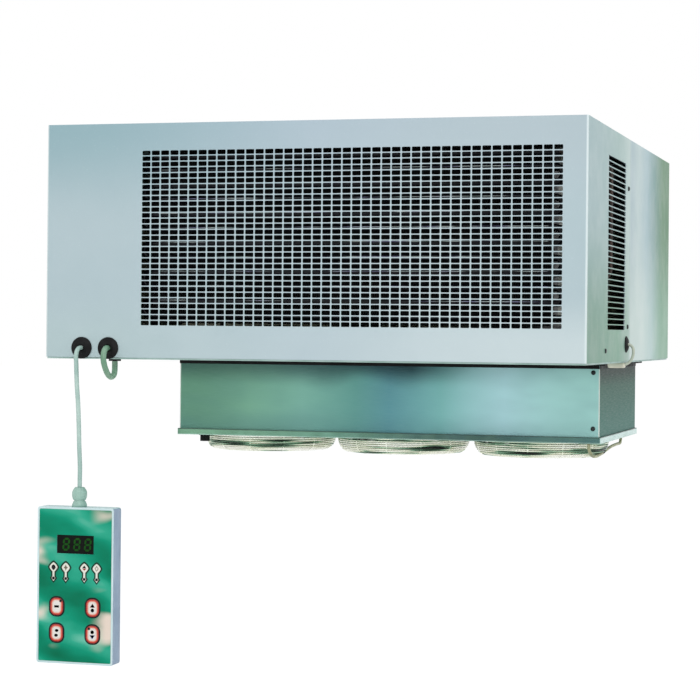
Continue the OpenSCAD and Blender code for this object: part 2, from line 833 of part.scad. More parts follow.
// A coil's tube: two rows of straight runs, return bends, a link between the rows and two stubs.
// Runs are counted from the top; near is +1 where the stubs are on the right, else -1.
module coil_tube(x0, x1, rows, top_z, pitch, n, near) {
  link_side = n % 2 == 0 ? near : -near;
  near_x = near > 0 ? x1 : x0;
  row_gap = rows[1] - rows[0];
  for (y = rows, k = [0:n - 1]) bar([x0, y, top_z - k * pitch], [x1, y, top_z - k * pitch], tube_r);
  for (y = rows, k = [0:n - 2]) {
    side = k % 2 == 0 ? -near : near;
    translate([side > 0 ? x1 : x0, y, top_z - (k + 0.5) * pitch])
      multmatrix([[0, side, 0, 0], [0, 0, side, 0], [1, 0, 0, 0], [0, 0, 0, 1]])
        rotate_extrude(angle = 180) translate([pitch / 2, 0]) circle(tube_r);
  }
  translate([link_side > 0 ? x1 : x0, rows[0] + row_gap / 2, top_z - (n - 1) * pitch])
    multmatrix([[0, link_side, 0, 0], [-link_side, 0, 0, 0], [0, 0, 1, 0], [0, 0, 0, 1]])
      rotate_extrude(angle = 180) translate([row_gap / 2, 0]) circle(tube_r);
  for (y = rows) bar([near_x, y, top_z], [near_x + near * stub_l, y, top_z], tube_r);
}

// A coil's end plate with its tube holes and a foot that stands on the floor below
module coil_end_plate(x, out, y0, d, z0, z1, rows, top_z, pitch, n) {
  foot_x = out > 0 ? x : x + end_plate_t - foot_flange_w;
  difference() {
    union() {
      translate([x, y0, z0]) cube([end_plate_t, d, z1 - z0]);
      translate([foot_x, y0, z0]) cube([foot_flange_w, d, end_plate_t]);
    }
    for (y = rows, k = [0:n - 1]) {
      translate([x - cut, y, top_z - k * pitch]) rotate([0, 90, 0])
        cylinder(r = tube_hole_r, h = end_plate_t + 2 * cut);
    }
  }
}

module condenser_fins() {
  color(fin_metal) difference() {
    translate([coil_x0, coil_y0, coil_z0]) cube([coil_w, coil_d, coil_h]);
    for (k = [0:coil_tubes - 1]) {
      z = coil_top_tube_z - k * tube_pitch;
      for (y = coil_rows) {
        translate([coil_x0 - cut, y, z]) rotate([0, 90, 0]) cylinder(r = tube_hole_r, h = coil_w + 2 * cut);
      }
      translate([coil_x0 - cut, coil_y0 - cut, z - tube_hole_r])
        cube([coil_w + 2 * cut, tube_row_front + cut, 2 * tube_hole_r]);
    }
  }
}

module condenser_tubes() {
  color(copper) coil_tube(
    coil_x0 - end_plate_t - turn_gap, coil_x1 + end_plate_t + turn_gap,
    coil_rows, coil_top_tube_z, tube_pitch, coil_tubes, 1
  );
}

module condenser_end_plates() {
  color(galvanised) for (out = [-1, 1]) {
    x = out > 0 ? coil_x1 : coil_x0 - end_plate_t;
    coil_end_plate(
      x, out, coil_y0, coil_d, floor_z, coil_z0 + coil_h, coil_rows, coil_top_tube_z, tube_pitch, coil_tubes
    );
  }
}

// Condenser fans

shroud_y0 = coil_y0 + coil_d;
shroud_y1 = shroud_y0 + shroud_d;
cond_fan_z = coil_z0 + coil_h / 2;
cond_fan_x = coil_x0 + coil_w / 2;

// Puts its children at the shroud's back face, on a fan's axis, with +Z backward
module at_condenser_fan(side) {
  translate([cond_fan_x + side * cond_fan_pitch / 2, shroud_y1, cond_fan_z]) rotate([-90, 0, 0]) children();
}

module fan_shroud() {
  color(galvanised) {
    difference() {
      translate([coil_x0, shroud_y0, coil_z0]) cube([coil_w, shroud_d, coil_h]);
      translate([coil_x0 + shroud_t, shroud_y0 - cut, coil_z0 + shroud_t])
        cube([coil_w - 2 * shroud_t, shroud_d - shroud_t + cut, coil_h - 2 * shroud_t]);
      for (side = [-1, 1]) at_condenser_fan(side) through(shroud_hole_r);
    }
    for (side = [-1, 1]) at_condenser_fan(side) rotate_extrude()
      translate([shroud_hole_r, -shroud_t]) square([shroud_t, shroud_t + shroud_ring_d]);
  }
}

// How deep a blade's root lies in its hub, and how far a blade stands past the hub's faces
blade_root = 3;
blade_over = 4;
blade_span = 54;
camber_share = 1.7;
// Gap between hub and motor, and length of the shaft and of its bearing bore
motor_gap = 3;
shaft_l = 18;
bearing_l = 20;
hub_edge_share = 0.2;

// A cambered sheet blade: a slice of a thin pipe, pitched about its radial axis
module blade(hub_r, hub_h, tip_r) {
  camber_r = camber_share * tip_r;
  intersection() {
    rotate([0, 0, -blade_span / 2]) rotate_extrude(angle = blade_span)
      translate([hub_r - blade_root, -blade_over])
        square([tip_r - hub_r + blade_root, hub_h + 2 * blade_over]);
    translate([0, 0, hub_h / 2]) rotate([blade_pitch, 0, 0]) translate([0, 0, -camber_r])
      rotate([0, 90, 0]) difference() {
        cylinder(r = camber_r + blade_t / 2, h = 2 * tip_r);
        translate([0, 0, -cut]) cylinder(r = camber_r - blade_t / 2, h = 2 * (tip_r + cut));
      }
  }
}

// A rotor with its shaft: hub from z = 0 up, shaft towards the motor above
module rotor(hub_r, hub_h, tip_r) {
  edge = hub_edge_share * hub_h;
  rotate_extrude() polygon([
    [0, 0], [hub_r - edge, 0], [hub_r, edge], [hub_r, hub_h], [shaft_r, hub_h], [shaft_r, hub_h + shaft_l],
    [0, hub_h + shaft_l]
  ]);
  for (k = [0:blades - 1]) rotate([0, 0, 360 * k / blades]) blade(hub_r, hub_h, tip_r);
}

// A motor over a rotor whose hub ends at z = 0
module fan_motor(r, l) {
  bore_r = shaft_r + shaft_clearance;
  nose_share = 0.45;
  nose_l = 4;
  edge = nose_l;
  rotate_extrude() polygon([
    [bore_r, motor_gap], [r * nose_share, motor_gap], [r * nose_share, motor_gap + nose_l],
    [r - edge, motor_gap + nose_l], [r, motor_gap + nose_l + edge], [r, motor_gap + l - edge],
    [r - edge, motor_gap + l], [0, motor_gap + l], [0, motor_gap + bearing_l], [bore_r, motor_gap + bearing_l]
  ]);
}

bracket_ring_t = 2.5;
bracket_ring_h = 9;
bracket_w = 10;
bracket_t = 3;
bracket_leg_t = 3;
bracket_angles = [30, 150, 270];

// A three-armed motor bracket that stands on z = 0, clasps a motor at height h and lands at radius reach
module motor_bracket(motor_r, h, reach) {
  ring_r = motor_r + fit_gap;
  translate([0, 0, h]) rotate_extrude() translate([ring_r, 0]) square([bracket_ring_t, bracket_ring_h]);
  for (a = bracket_angles) rotate([0, 0, a]) {
    translate([ring_r + bracket_ring_t / 2, -bracket_w / 2, h])
      cube([reach + bracket_leg_t - ring_r - bracket_ring_t / 2, bracket_w, bracket_t]);
    translate([reach, -bracket_w / 2, 0]) cube([bracket_leg_t, bracket_w, h + bracket_t]);
  }
}

// Place of the condenser rotors' hubs behind the shroud's plate
cond_hub_z = -2;
cond_bracket_h = 48;
cond_bracket_gap = 2;
module condenser_motors() {
  color(motor_black) for (side = [-1, 1]) at_condenser_fan(side)
    translate([0, 0, cond_hub_z + cond_hub_h]) fan_motor(cond_motor_r, cond_motor_l);
}

module condenser_motor_brackets() {
  color(galvanised) for (side = [-1, 1]) at_condenser_fan(side)
    motor_bracket(cond_motor_r, cond_bracket_h, shroud_hole_r + shroud_t + cond_bracket_gap);
}

module condenser_fan(side) {
  color(fin_metal) at_condenser_fan(side) translate([0, 0, cond_hub_z])
    rotor(cond_hub_r, cond_hub_h, cond_tip_r);
}
module condenser_fan_left() { condenser_fan(-1); }
module condenser_fan_right() { condenser_fan(1); }

// Compressor and vessels

comp_x = housing_w / 2 - comp_side;
comp_y = front_y + comp_back;
comp_plate_t = 4;
comp_plate_w = 150;
comp_seam_t = 5;
comp_seam_out = 3;
comp_top_edge = 46;
comp_bottom_edge = 24;
comp_z0 = floor_z + foot_h + comp_plate_t;
foot_inset = 14;

// A closed round vessel with rounded ends
module vessel(r, h, low_edge, top_edge) {
  rotate_extrude() intersection() {
    square([r, h]);
    union() {
      square([r - low_edge, h - top_edge]);
      square([r - top_edge, h]);
      translate([0, low_edge]) square([r, h - low_edge - top_edge]);
      translate([r - low_edge, low_edge]) circle(low_edge);
      translate([r - top_edge, h - top_edge]) circle(top_edge);
    }
  }
}

module compressor() {
  color(motor_black) translate([comp_x, comp_y, comp_z0]) {
    vessel(comp_r, comp_h, comp_bottom_edge, comp_top_edge);
    translate([0, 0, comp_h / 2]) cylinder(r = comp_r + comp_seam_out, h = comp_seam_t);
    translate([0, 0, -comp_plate_t]) middle_box(comp_plate_w, comp_plate_w, comp_plate_t);
  }
}

module compressor_feet() {
  waist_share = 0.8;
  color(black_rubber) for (sx = [-1, 1], sy = [-1, 1]) {
    reach = comp_plate_w / 2 - foot_inset;
    translate([comp_x + sx * reach, comp_y + sy * reach, floor_z]) rotate_extrude() polygon([
      [0, 0], [foot_r, 0], [foot_r * waist_share, foot_h / 2], [foot_r, foot_h], [0, foot_h]
    ]);
  }
}

terminal_w = 46;
terminal_h = 54;
terminal_out = 26;
module compressor_terminal_cover() {
  bottom_z = comp_z0 + comp_h / 2 - terminal_h - comp_seam_t;
  color(motor_black) difference() {
    translate([comp_x - comp_r - terminal_out, comp_y - terminal_w / 2, bottom_z])
      cube([comp_r, terminal_w, terminal_h]);
    translate([comp_x, comp_y, 0]) cylinder(r = comp_r + fit_gap, h = 2 * comp_h);
  }
}

receiver_x = -20;
receiver_edge = 18;
receiver_base_h = 8;
module liquid_receiver() {
  color(motor_black) translate([receiver_x, comp_y, floor_z]) {
    cylinder(r = receiver_r - receiver_edge / 2, h = receiver_base_h);
    translate([0, 0, receiver_z - floor_z]) vessel(receiver_r, receiver_h, receiver_edge, receiver_edge);
  }
}

// Pipework

gas_pipe_r = 4;
liquid_pipe_r = 3;
suction_pipe_r = 6;
gas_bend_r = 14;
liquid_bend_r = 11;
suction_bend_r = 16;
stub_x = coil_x1 + end_plate_t + turn_gap + stub_l;
gas_pipe_inset = 19;
gas_pipe_x = housing_w / 2 - gas_pipe_inset;
gas_port_share = 0.55;
gas_port_z = comp_z0 + comp_h * gas_port_share;
module discharge_pipe() {
  color(copper) bent_pipe([
    [stub_x, coil_rows[1], coil_top_tube_z], [gas_pipe_x, coil_rows[1], coil_top_tube_z],
    [gas_pipe_x, comp_y, coil_top_tube_z], [gas_pipe_x, comp_y, gas_port_z],
    [comp_x + comp_r, comp_y, gas_port_z]
  ], gas_pipe_r, gas_bend_r);
}

module liquid_pipes() {
  color(copper) {
    bent_pipe([
      [stub_x, coil_rows[0], coil_top_tube_z], [drop_x, coil_rows[0], coil_top_tube_z],
      [drop_x, coil_rows[0], low_pipe_z], [drop_x, crossing_y, low_pipe_z],
      [receiver_x, crossing_y, low_pipe_z], [receiver_x, crossing_y, rise_z],
      [receiver_x, comp_y, rise_z], [receiver_x, comp_y, receiver_top_z]
    ], liquid_pipe_r, liquid_bend_r);
    bent_pipe([
      [receiver_x - receiver_r, comp_y, drier_z], [drier_x1, comp_y, drier_z]
    ], liquid_pipe_r, liquid_bend_r);
    bent_pipe([
      [drier_x0, comp_y, drier_z], [riser_x, comp_y, drier_z], [riser_x, comp_y, valve_z],
      [riser_x, valve_y - valve_l / 2, valve_z]
    ], liquid_pipe_r, liquid_bend_r);
    bent_pipe([
      [riser_x, valve_y + valve_l / 2, evap_top_tube_z], [riser_x, inlet_y, evap_top_tube_z],
      [inlet_x, inlet_y, evap_top_tube_z], [inlet_x, evap_rows[0], evap_top_tube_z],
      [evap_stub_x, evap_rows[0], evap_top_tube_z]
    ], liquid_pipe_r, liquid_bend_r);
  }
}

module suction_pipe() {
  color(copper) bent_pipe([
    [evap_stub_x, evap_rows[1], evap_top_tube_z], [suction_x, evap_rows[1], evap_top_tube_z],
    [suction_x, evap_rows[1], suction_z], [suction_x, suction_y, suction_z],
    [suction_down_x, suction_y, suction_z], [suction_down_x, comp_y, suction_z],
    [suction_down_x, comp_y, suction_port_z], [comp_x - comp_r, comp_y, suction_port_z]
  ], suction_pipe_r, suction_bend_r);
}

module filter_drier() {
  color(motor_black) translate([drier_x0, comp_y, drier_z]) rotate([0, 90, 0])
    vessel(drier_r, drier_x1 - drier_x0, drier_edge, drier_edge);
}

module expansion_valve() {
  color("goldenrod") {
    translate([riser_x, valve_y, valve_z]) rotate([90, 0, 0])
      translate([0, 0, -valve_l / 2]) cylinder(r = valve_r, h = valve_l, $fn = 6);
    translate([riser_x, valve_y, valve_z]) cylinder(r = valve_neck_r, h = valve_neck_h);
    translate([riser_x, valve_y, valve_z + valve_neck_h]) cylinder(r = valve_head_r, h = valve_head_h);
  }
}

// Electrical box, open to the front, with its lid and its fittings

ebox_side_gap = 10;
ebox_x0 = left_x + ebox_side_gap;
ebox_y0 = front_y + ebox_front;
ebox_back_y = ebox_y0 + ebox_d - ebox_t;
ebox_lip_h = 12;
contactor_w = 45;
contactor_h = 78;
contactor_d = 66;
contactor_z = 168;
terminals_w = 84;
terminals_h = 24;
terminals_d = 30;
terminals_z = 62;
terminals_n = 7;
module electrical_box() {
  color(galvanised) translate([ebox_x0, ebox_y0, floor_z]) difference() {
    cube([ebox_w, ebox_d, ebox_h]);
    translate([ebox_t, -cut, ebox_t]) cube([ebox_w - 2 * ebox_t, ebox_d - ebox_t + cut, ebox_h - 2 * ebox_t]);
  }
}

module electrical_box_lid() {
  lip_inset = ebox_t + fit_gap;
  color(galvanised) {
    translate([ebox_x0, ebox_y0 - ebox_t, floor_z]) cube([ebox_w, ebox_t, ebox_h]);
    for (x = [lip_inset, ebox_w - lip_inset - ebox_t]) {
      translate([ebox_x0 + x, ebox_y0 - ebox_t, floor_z + lip_inset])
        cube([ebox_t, ebox_t + ebox_lip_h, ebox_h - 2 * lip_inset]);
    }
  }
}

module contactor() {
  foot_share = 0.45;
  head_share = 0.62;
  color(case_white) translate([ebox_x0 + ebox_w / 2, ebox_back_y, floor_z + contactor_z]) {
    translate([-contactor_w / 2, -contactor_d * foot_share, 0])
      cube([contactor_w, contactor_d * foot_share, contactor_h]);
    translate([-contactor_w / 2, -contactor_d, contactor_h * (1 - head_share) / 2])
      cube([contactor_w, contactor_d, contactor_h * head_share]);
  }
}

module terminal_block() {
  pitch = terminals_w / terminals_n;
  slot_share = 0.6;
  side_gap = (ebox_w - terminals_w) / 2;
  color(case_white) translate([ebox_x0 + side_gap, ebox_back_y - terminals_d, floor_z + terminals_z])
    difference() {
      cube([terminals_w, terminals_d, terminals_h]);
      for (i = [0:terminals_n - 1]) {
        translate([(i + (1 - slot_share) / 2) * pitch, -cut, terminals_h * (1 - slot_share) / 2])
          cube([pitch * slot_share, terminals_d / 2 + cut, terminals_h * slot_share]);
      }
    }
}

// Evaporator box

box_screw_x = evap_w / 2 - box_screw_inset;
box_screw_zs = [-box_screw_top, tray_rim_z + box_screw_low];
seal_gap = 0.5;

// Compressed foam strip on which the base stands round the ceiling's opening
module ceiling_seal() {
  inner_w = evap_w + 2 * seal_gap;
  inner_d = evap_d + 2 * seal_gap;
  color(black_rubber) difference() {
    translate([0, -inner_d / 2 - seal_w, 0]) linear_extrude(seal_t)
      rounded_plan(inner_w + 2 * seal_w, inner_d + 2 * seal_w, casing_bend_r);
    translate([0, 0, -cut]) middle_box(inner_w, inner_d, seal_t + 2 * cut);
  }
}

// Half of the box's sheet: a front with the left side, and a screw flange behind the next front's end
module casing_half() {
  h = base_z - tray_floor_z;
  corner = [evap_w / 2, evap_d / 2];
  translate([0, 0, tray_floor_z]) {
    difference() {
      translate([0, box_front_y, 0]) linear_extrude(h) rounded_plan(evap_w, evap_d, casing_bend_r);
      translate([0, box_front_y + casing_t, -cut]) linear_extrude(h + 2 * cut)
        rounded_plan(evap_w - 2 * casing_t, evap_d - 2 * casing_t, casing_bend_r - casing_t);
      translate([-evap_w, corner[1] - casing_bend_r, -cut]) cube([2 * evap_w, evap_d, h + 2 * cut]);
      translate([corner[0] - casing_bend_r, -evap_d, -cut]) cube([evap_w, 2 * evap_d, h + 2 * cut]);
    }
    translate([corner[0] - casing_bend_r, -corner[1], 0]) cube([casing_bend_r, casing_t, h]);
    translate([-corner[0], corner[1] - casing_bend_r, 0]) cube([casing_t, casing_bend_r - casing_t, h]);
    translate([-corner[0], corner[1] - 2 * casing_t, 0]) cube([casing_flange_w, casing_t, h]);
  }
}

// Puts its children at the box's screws, with +Z outward: the front's pair and the back's
module at_box_screws() {
  for (turn = [0, 180], z = box_screw_zs) {
    rotate([0, 0, turn]) translate([box_screw_x, -evap_d / 2, z]) rotate([90, 0, 0]) children();
  }
}

module evaporator_front_panel() {
  color(bare_metal) difference() {
    casing_half();
    at_box_screws() through(screw_hole_r);
  }
}

module evaporator_rear_panel() {
  color(bare_metal) difference() {
    rotate([0, 0, 180]) casing_half();
    at_box_screws() through(screw_hole_r);
  }
}

module insulated_cell() {
  cell_z0 = tray_floor_z + foam_lift;
  pocket = casing_flange_w + fit_gap;
  pipe_gap = 1;
  color([0.93, 0.92, 0.86]) difference() {
    union() {
      translate([0, -cell_d / 2, cell_z0]) linear_extrude(foam_top - cell_z0)
        rounded_plan(cell_w, cell_d, casing_bend_r);
      translate([0, 0, floor_z]) middle_box(cell_w + 2 * foam_t, cell_d + 2 * foam_t, foam_t);
    }
    translate([0, 0, cell_z0 - cut])
      middle_box(cell_w - 2 * foam_t, cell_d - 2 * foam_t, foam_top - foam_t - cell_z0 + cut);
    for (turn = [0, 180]) rotate([0, 0, turn]) {
      translate([cell_w / 2 - pocket + casing_t, -cell_d / 2 - cut, cell_z0 - cut])
        cube([pocket, 2 * casing_t + cut, base_z - cell_z0 + cut]);
    }
    at_box_screws() cylinder(r = screw_hole_r, h = 2 * (screw_l + cut), center = true);
    translate([riser_x, -cell_d / 2, valve_z]) rotate([90, 0, 0])
      cylinder(r = liquid_pipe_r + pipe_gap, h = 2 * (foam_t + cut), center = true);
    translate([suction_x, -cell_d / 2, suction_z]) rotate([90, 0, 0])
      cylinder(r = suction_pipe_r + pipe_gap, h = 2 * (foam_t + cut), center = true);
  }
}

// Evaporator coil

module evaporator_fins() {
  color(fin_metal) difference() {
    translate([-evap_coil_w / 2, evap_coil_y, evap_coil_z]) cube([evap_coil_w, evap_coil_d, evap_coil_h]);
    for (y = evap_rows, k = [0:evap_tubes - 1]) {
      translate([-evap_coil_w / 2 - cut, y, evap_top_tube_z - k * evap_tube_pitch]) rotate([0, 90, 0])
        cylinder(r = tube_hole_r, h = evap_coil_w + 2 * cut);
    }
    for (y = heater_ys) translate([-evap_coil_w / 2 - cut, y, evap_coil_z]) rotate([0, 90, 0])
      cylinder(r = heater_r + heater_gap, h = evap_coil_w + 2 * cut);
  }
}

module evaporator_tubes() {
  x = evap_coil_w / 2 + end_plate_t + turn_gap;
  color(copper) coil_tube(-x, x, evap_rows, evap_top_tube_z, evap_tube_pitch, evap_tubes, -1);
}

module evaporator_end_plates() {
  color(galvanised) difference() {
    for (out = [-1, 1]) {
      x = out > 0 ? evap_coil_w / 2 : -evap_coil_w / 2 - end_plate_t;
      coil_end_plate(
        x, out, evap_coil_y, evap_coil_d, tray_floor_z, evap_coil_z + evap_coil_h,
        evap_rows, evap_top_tube_z, evap_tube_pitch, evap_tubes
      );
    }
    for (y = heater_ys) translate([-evap_coil_w, y, heater_z]) rotate([0, 90, 0])
      cylinder(r = heater_r + fit_gap, h = 2 * evap_coil_w);
  }
}

// A rod in two grooves under the fins, bent over outside the right end plate
module defrost_heater() {
  x = evap_coil_w / 2 + end_plate_t + heater_over;
  color("dimgray") bent_pipe([
    [-x, heater_ys[0], heater_z], [x, heater_ys[0], heater_z],
    [x, heater_ys[1], heater_z], [-x, heater_ys[1], heater_z]
  ], heater_r, heater_bend_r);
}

// Drip tray with fan collars, outlet slots and lead bushing holes

fan_y = box_front_y + fan_setback;
tray_play = 0.2;
module drip_tray() {
  w = evap_w + 2 * (tray_rim_t + tray_play);
  d = evap_d + 2 * (tray_rim_t + tray_play);
  outlet_y = evap_d / 2 - outlet_back - outlet_slot_l;
  color(bare_metal) difference() {
    union() {
      difference() {
        translate([0, -d / 2, tray_z]) linear_extrude(tray_rim_h) rounded_plan(w, d, tray_corner_r);
        translate([0, 0, tray_floor_z])
          middle_box(evap_w + 2 * tray_play, evap_d + 2 * tray_play, tray_rim_h);
      }
      for (i = [-1:1]) translate([i * fan_pitch, fan_y, tray_floor_z - tray_t / 2])
        cylinder(r = fan_hole_r + fan_collar_t, h = fan_collar_h);
    }
    for (i = [-1:1]) translate([i * fan_pitch, fan_y, tray_z - cut])
      cylinder(r = fan_hole_r, h = fan_collar_h + tray_t + 2 * cut);
    for (i = [0:outlet_slots - 1]) {
      translate([(i - (outlet_slots - 1) / 2) * outlet_pitch - outlet_slot_w / 2, outlet_y, tray_z - cut])
        cube([outlet_slot_w, outlet_slot_l, tray_t + 2 * cut]);
    }
    for (p = [probe_in, probe_out]) translate([p[0], p[1], tray_floor_z]) through(tray_bushing_hole_r);
    translate([drain_x, drain_y, tray_floor_z]) through(drain_r + fit_gap);
    at_guard_screws() through(screw_hole_r);
  }
}

module drain_spout() {
  color(black_rubber) translate([drain_x, drain_y, 0]) rotate_extrude() polygon([
    [drain_bore_r, tray_z - drain_l], [drain_r, tray_z - drain_l], [drain_r, tray_z - drain_flange_t],
    [drain_r + drain_flange_w, tray_z - drain_flange_t], [drain_r + drain_flange_w, tray_z],
    [drain_r, tray_z], [drain_r, tray_floor_z], [drain_r + drain_flange_w, tray_floor_z],
    [drain_r + drain_flange_w, tray_floor_z + tray_t], [drain_bore_r, tray_floor_z + tray_t]
  ]);
}

// Evaporator fans

// Height of the rotors' lowest point over the tray's underside, and of the bracket ring
rotor_lift = 5.5;
evap_bracket_h = 61;
evap_bracket_gap = 2;
module evaporator_motors() {
  color(motor_black) for (i = [-1:1]) {
    translate([i * fan_pitch, fan_y, tray_z + rotor_lift + rotor_hub_h]) fan_motor(fan_motor_r, fan_motor_l);
  }
}

module evaporator_motor_brackets() {
  color(galvanised) for (i = [-1:1]) translate([i * fan_pitch, fan_y, tray_floor_z])
    motor_bracket(fan_motor_r, evap_bracket_h, fan_hole_r + fan_collar_t + evap_bracket_gap);
}

module evaporator_fan(i) {
  color(fin_metal) translate([i * fan_pitch, fan_y, tray_z + rotor_lift])
    rotor(rotor_hub_r, rotor_hub_h, rotor_tip_r);
}
module evaporator_fan_left() { evaporator_fan(-1); }
module evaporator_fan_middle() { evaporator_fan(0); }
module evaporator_fan_right() { evaporator_fan(1); }

// Wire guards

guard_rim_wire_r = 1.7;
guard_wall_rings = 2;
// Run of the guard's wall for its rise
wall_share = 0.75;
guard_bend_r = 6;
guard_ring_margin = 6;
// Distance from the middle of a radial wire to the middle of a ring welded on it, in wire radii
weld_share = 1.36;
guard_screw_out = 5.5;
module wire_ring(r, wire_r) {
  rotate_extrude() translate([r, 0]) circle(wire_r);
}

module fan_guard() {
  spoke_z = guard_wire_r - guard_h;
  rim_z = -guard_rim_wire_r;
  rise = rim_z - spoke_z;
  run = wall_share * rise;
  flat_r = guard_r - run;
  weld = weld_share * guard_wire_r / norm([run, rise]);
  ring_step = (flat_r - guard_ring_margin - guard_disc_r) / guard_flat_rings;
  translate([0, 0, rim_z]) wire_ring(guard_r, guard_rim_wire_r);
  for (i = [1:guard_wall_rings]) {
    share = i / (guard_wall_rings + 1);
    translate([0, 0, spoke_z + share * rise + weld * run])
      wire_ring(flat_r + share * run - weld * rise, guard_wire_r);
  }
  for (i = [1:guard_flat_rings]) {
    translate([0, 0, spoke_z + weld_share * guard_wire_r])
      wire_ring(guard_disc_r + i * ring_step, guard_wire_r);
  }
  translate([0, 0, spoke_z]) cylinder(r = guard_disc_r, h = guard_disc_t, center = true);
  for (k = [0:guard_spokes - 1]) rotate([0, 0, 360 * k / guard_spokes]) bent_pipe([
    [guard_disc_r - guard_ring_margin, 0, spoke_z], [flat_r, 0, spoke_z], [guard_r, 0, rim_z]
  ], guard_wire_r, guard_bend_r);
}

module fan_guards() {
  color(wire_chrome) for (i = [-1:1]) translate([i * fan_pitch, fan_y, tray_z]) fan_guard();
}

// Puts its children at the guards' screws, with +Z downward
module at_guard_screws() {
  for (i = [-1:1], a = [45:90:315]) {
    translate([i * fan_pitch, fan_y, tray_z]) rotate([0, 0, a])
      translate([guard_r + guard_screw_out, 0, 0]) rotate([180, 0, 0]) children();
  }
}

module box_screws() {
  color("silver") {
    at_box_screws() pan_screw();
    at_guard_screws() pan_screw();
  }
}

// Keypad. Its own frame: origin at the top middle of its face, x to the right, y into the case.

module at_keypad() {
  translate([keypad_x, keypad_y, keypad_top_z]) children();
}

// A plate in the keypad's frame: its outline is drawn with y downward from the top
module keypad_plate(y0, y1) {
  translate([0, y1, 0]) rotate([90, 0, 0]) linear_extrude(y1 - y0) mirror([0, 1]) children();
}

module key_outline(grow) {
  w = key_w + 2 * grow;
  h = key_h + 2 * grow;
  translate([0, -h / 2]) rounded_plan(w, h, key_corner_r + grow);
}

module at_keys() {
  for (sx = [-1, 1], k = [0, 1]) translate([sx * key_gap_x / 2, key_down + k * key_gap_z]) children();
}

module window_outline(shrink) {
  w = window_w - 2 * shrink;
  h = window_h - 2 * shrink;
  translate([-w / 2, window_down - h / 2]) square([w, h]);
}

module lamp_outlines(grow) {
  for (x = lamp_xs) translate([x, lamp_down]) circle(lamp_r + grow);
}

plate_end = 3;
flange_start = 3.2;
flange_end = 4.2;
// Room under a pressed key
key_stop_gap = 0.8;
board_t = 1.6;
board_start = flange_end + key_travel + key_stop_gap;
board_end = board_start + board_t;
board_gap = 0.4;
post_r = 3.5;
post_inset = 9;

module keypad_front_shell() {
  inner_w = keypad_w - 2 * keypad_wall;
  inner_h = keypad_h - 2 * keypad_wall;
  color(case_white) at_keypad() difference() {
    keypad_plate(0, keypad_front_d) rounded_plan(keypad_w, keypad_h, keypad_corner_r);
    keypad_plate(plate_end, keypad_front_d + cut) translate([0, keypad_wall])
      rounded_plan(inner_w, inner_h, keypad_corner_r - keypad_wall);
    keypad_plate(-cut, overlay_t) translate([0, overlay_border]) overlay_outline(fit_gap);
    keypad_plate(-cut, plate_end + cut) {
      window_outline(0);
      lamp_outlines(fit_gap);
      at_keys() key_outline(key_clearance);
    }
  }
}

// Outline of the overlay, or of its recess
module overlay_outline(grow) {
  w = keypad_w - 2 * overlay_border + 2 * grow;
  h = keypad_h - 2 * overlay_border + 2 * grow;
  translate([0, -grow]) rounded_plan(w, h, overlay_corner_r);
}

module keypad_overlay() {
  color(overlay_green) at_keypad() keypad_plate(0, overlay_t) difference() {
    translate([0, overlay_border]) overlay_outline(0);
    window_outline(0);
    lamp_outlines(fit_gap);
    at_keys() key_outline(key_clearance);
  }
}

module keypad_display() {
  color("black") at_keypad() keypad_plate(overlay_t / 2, board_start) window_outline(fit_gap / 2);
}

module keypad_board() {
  w = keypad_w - 2 * keypad_wall - 2 * board_gap;
  h = keypad_h - 2 * keypad_wall - 2 * board_gap;
  color([0.05, 0.35, 0.2]) at_keypad() {
    keypad_plate(board_start, board_end) translate([0, keypad_wall + board_gap])
      rounded_plan(w, h, keypad_corner_r - keypad_wall);
    keypad_plate(overlay_t, board_start) lamp_outlines(0);
  }
}

// Rear shell with four posts that carry the board and a hole for the gland
module keypad_back_shell() {
  inner_w = keypad_w - 2 * keypad_wall;
  inner_h = keypad_h - 2 * keypad_wall;
  back = keypad_d - keypad_wall;
  color(case_white) at_keypad() {
    difference() {
      keypad_plate(keypad_front_d, keypad_d) rounded_plan(keypad_w, keypad_h, keypad_corner_r);
      keypad_plate(keypad_front_d - cut, back) translate([0, keypad_wall])
        rounded_plan(inner_w, inner_h, keypad_corner_r - keypad_wall);
      translate([0, gland_y, 0])
        cylinder(r = gland_stem_r + fit_gap, h = 2 * (keypad_wall + cut), center = true);
    }
    for (sx = [-1, 1], z = [post_inset, keypad_h - post_inset - keypad_wall]) {
      keypad_plate(board_end, back + keypad_wall / 2)
        translate([sx * (keypad_w / 2 - post_inset - keypad_wall), z + keypad_wall / 2]) circle(post_r);
    }
  }
}

module key(sx, k) {
  color([0.93, 0.93, 0.93]) at_keypad() {
    translate([sx * key_gap_x / 2, 0, -key_down - k * key_gap_z]) {
      keypad_plate(-key_proud, (flange_start + flange_end) / 2) key_outline(0);
      keypad_plate(flange_start, flange_end) key_outline(key_flange);
    }
  }
}
module key_upper_left() { key(-1, 0); }
module key_upper_right() { key(1, 0); }
module key_lower_left() { key(-1, 1); }
module key_lower_right() { key(1, 1); }

// Cable gland on the keypad's top: hexagonal body and nut on a stem through the case
module keypad_gland() {
  nut_share = 0.94;
  taper_share = 0.3;
  nut_r = gland_r * nut_share;
  top_r = gland_r * (1 - taper_share / 2);
  color(case_white) at_keypad() translate([0, gland_y, 0]) difference() {
    union() {
      translate([0, 0, -keypad_wall - gland_stem_l])
        cylinder(r = gland_stem_r, h = keypad_wall + gland_stem_l + cut);
      cylinder(r = gland_r, h = gland_body_h, $fn = 6);
      translate([0, 0, gland_body_h]) {
        cylinder(r = nut_r, h = gland_nut_h * (1 - taper_share));
        translate([0, 0, gland_nut_h * (1 - taper_share)])
          cylinder(r1 = nut_r, r2 = top_r, h = gland_nut_h * taper_share);
      }
    }
    translate([0, 0, -keypad_wall - gland_stem_l - cut])
      cylinder(r = keypad_cord_d / 2 - fit_gap, h = keypad_h / 2, $fn = 24);
  }
}

// Cords, each along its route

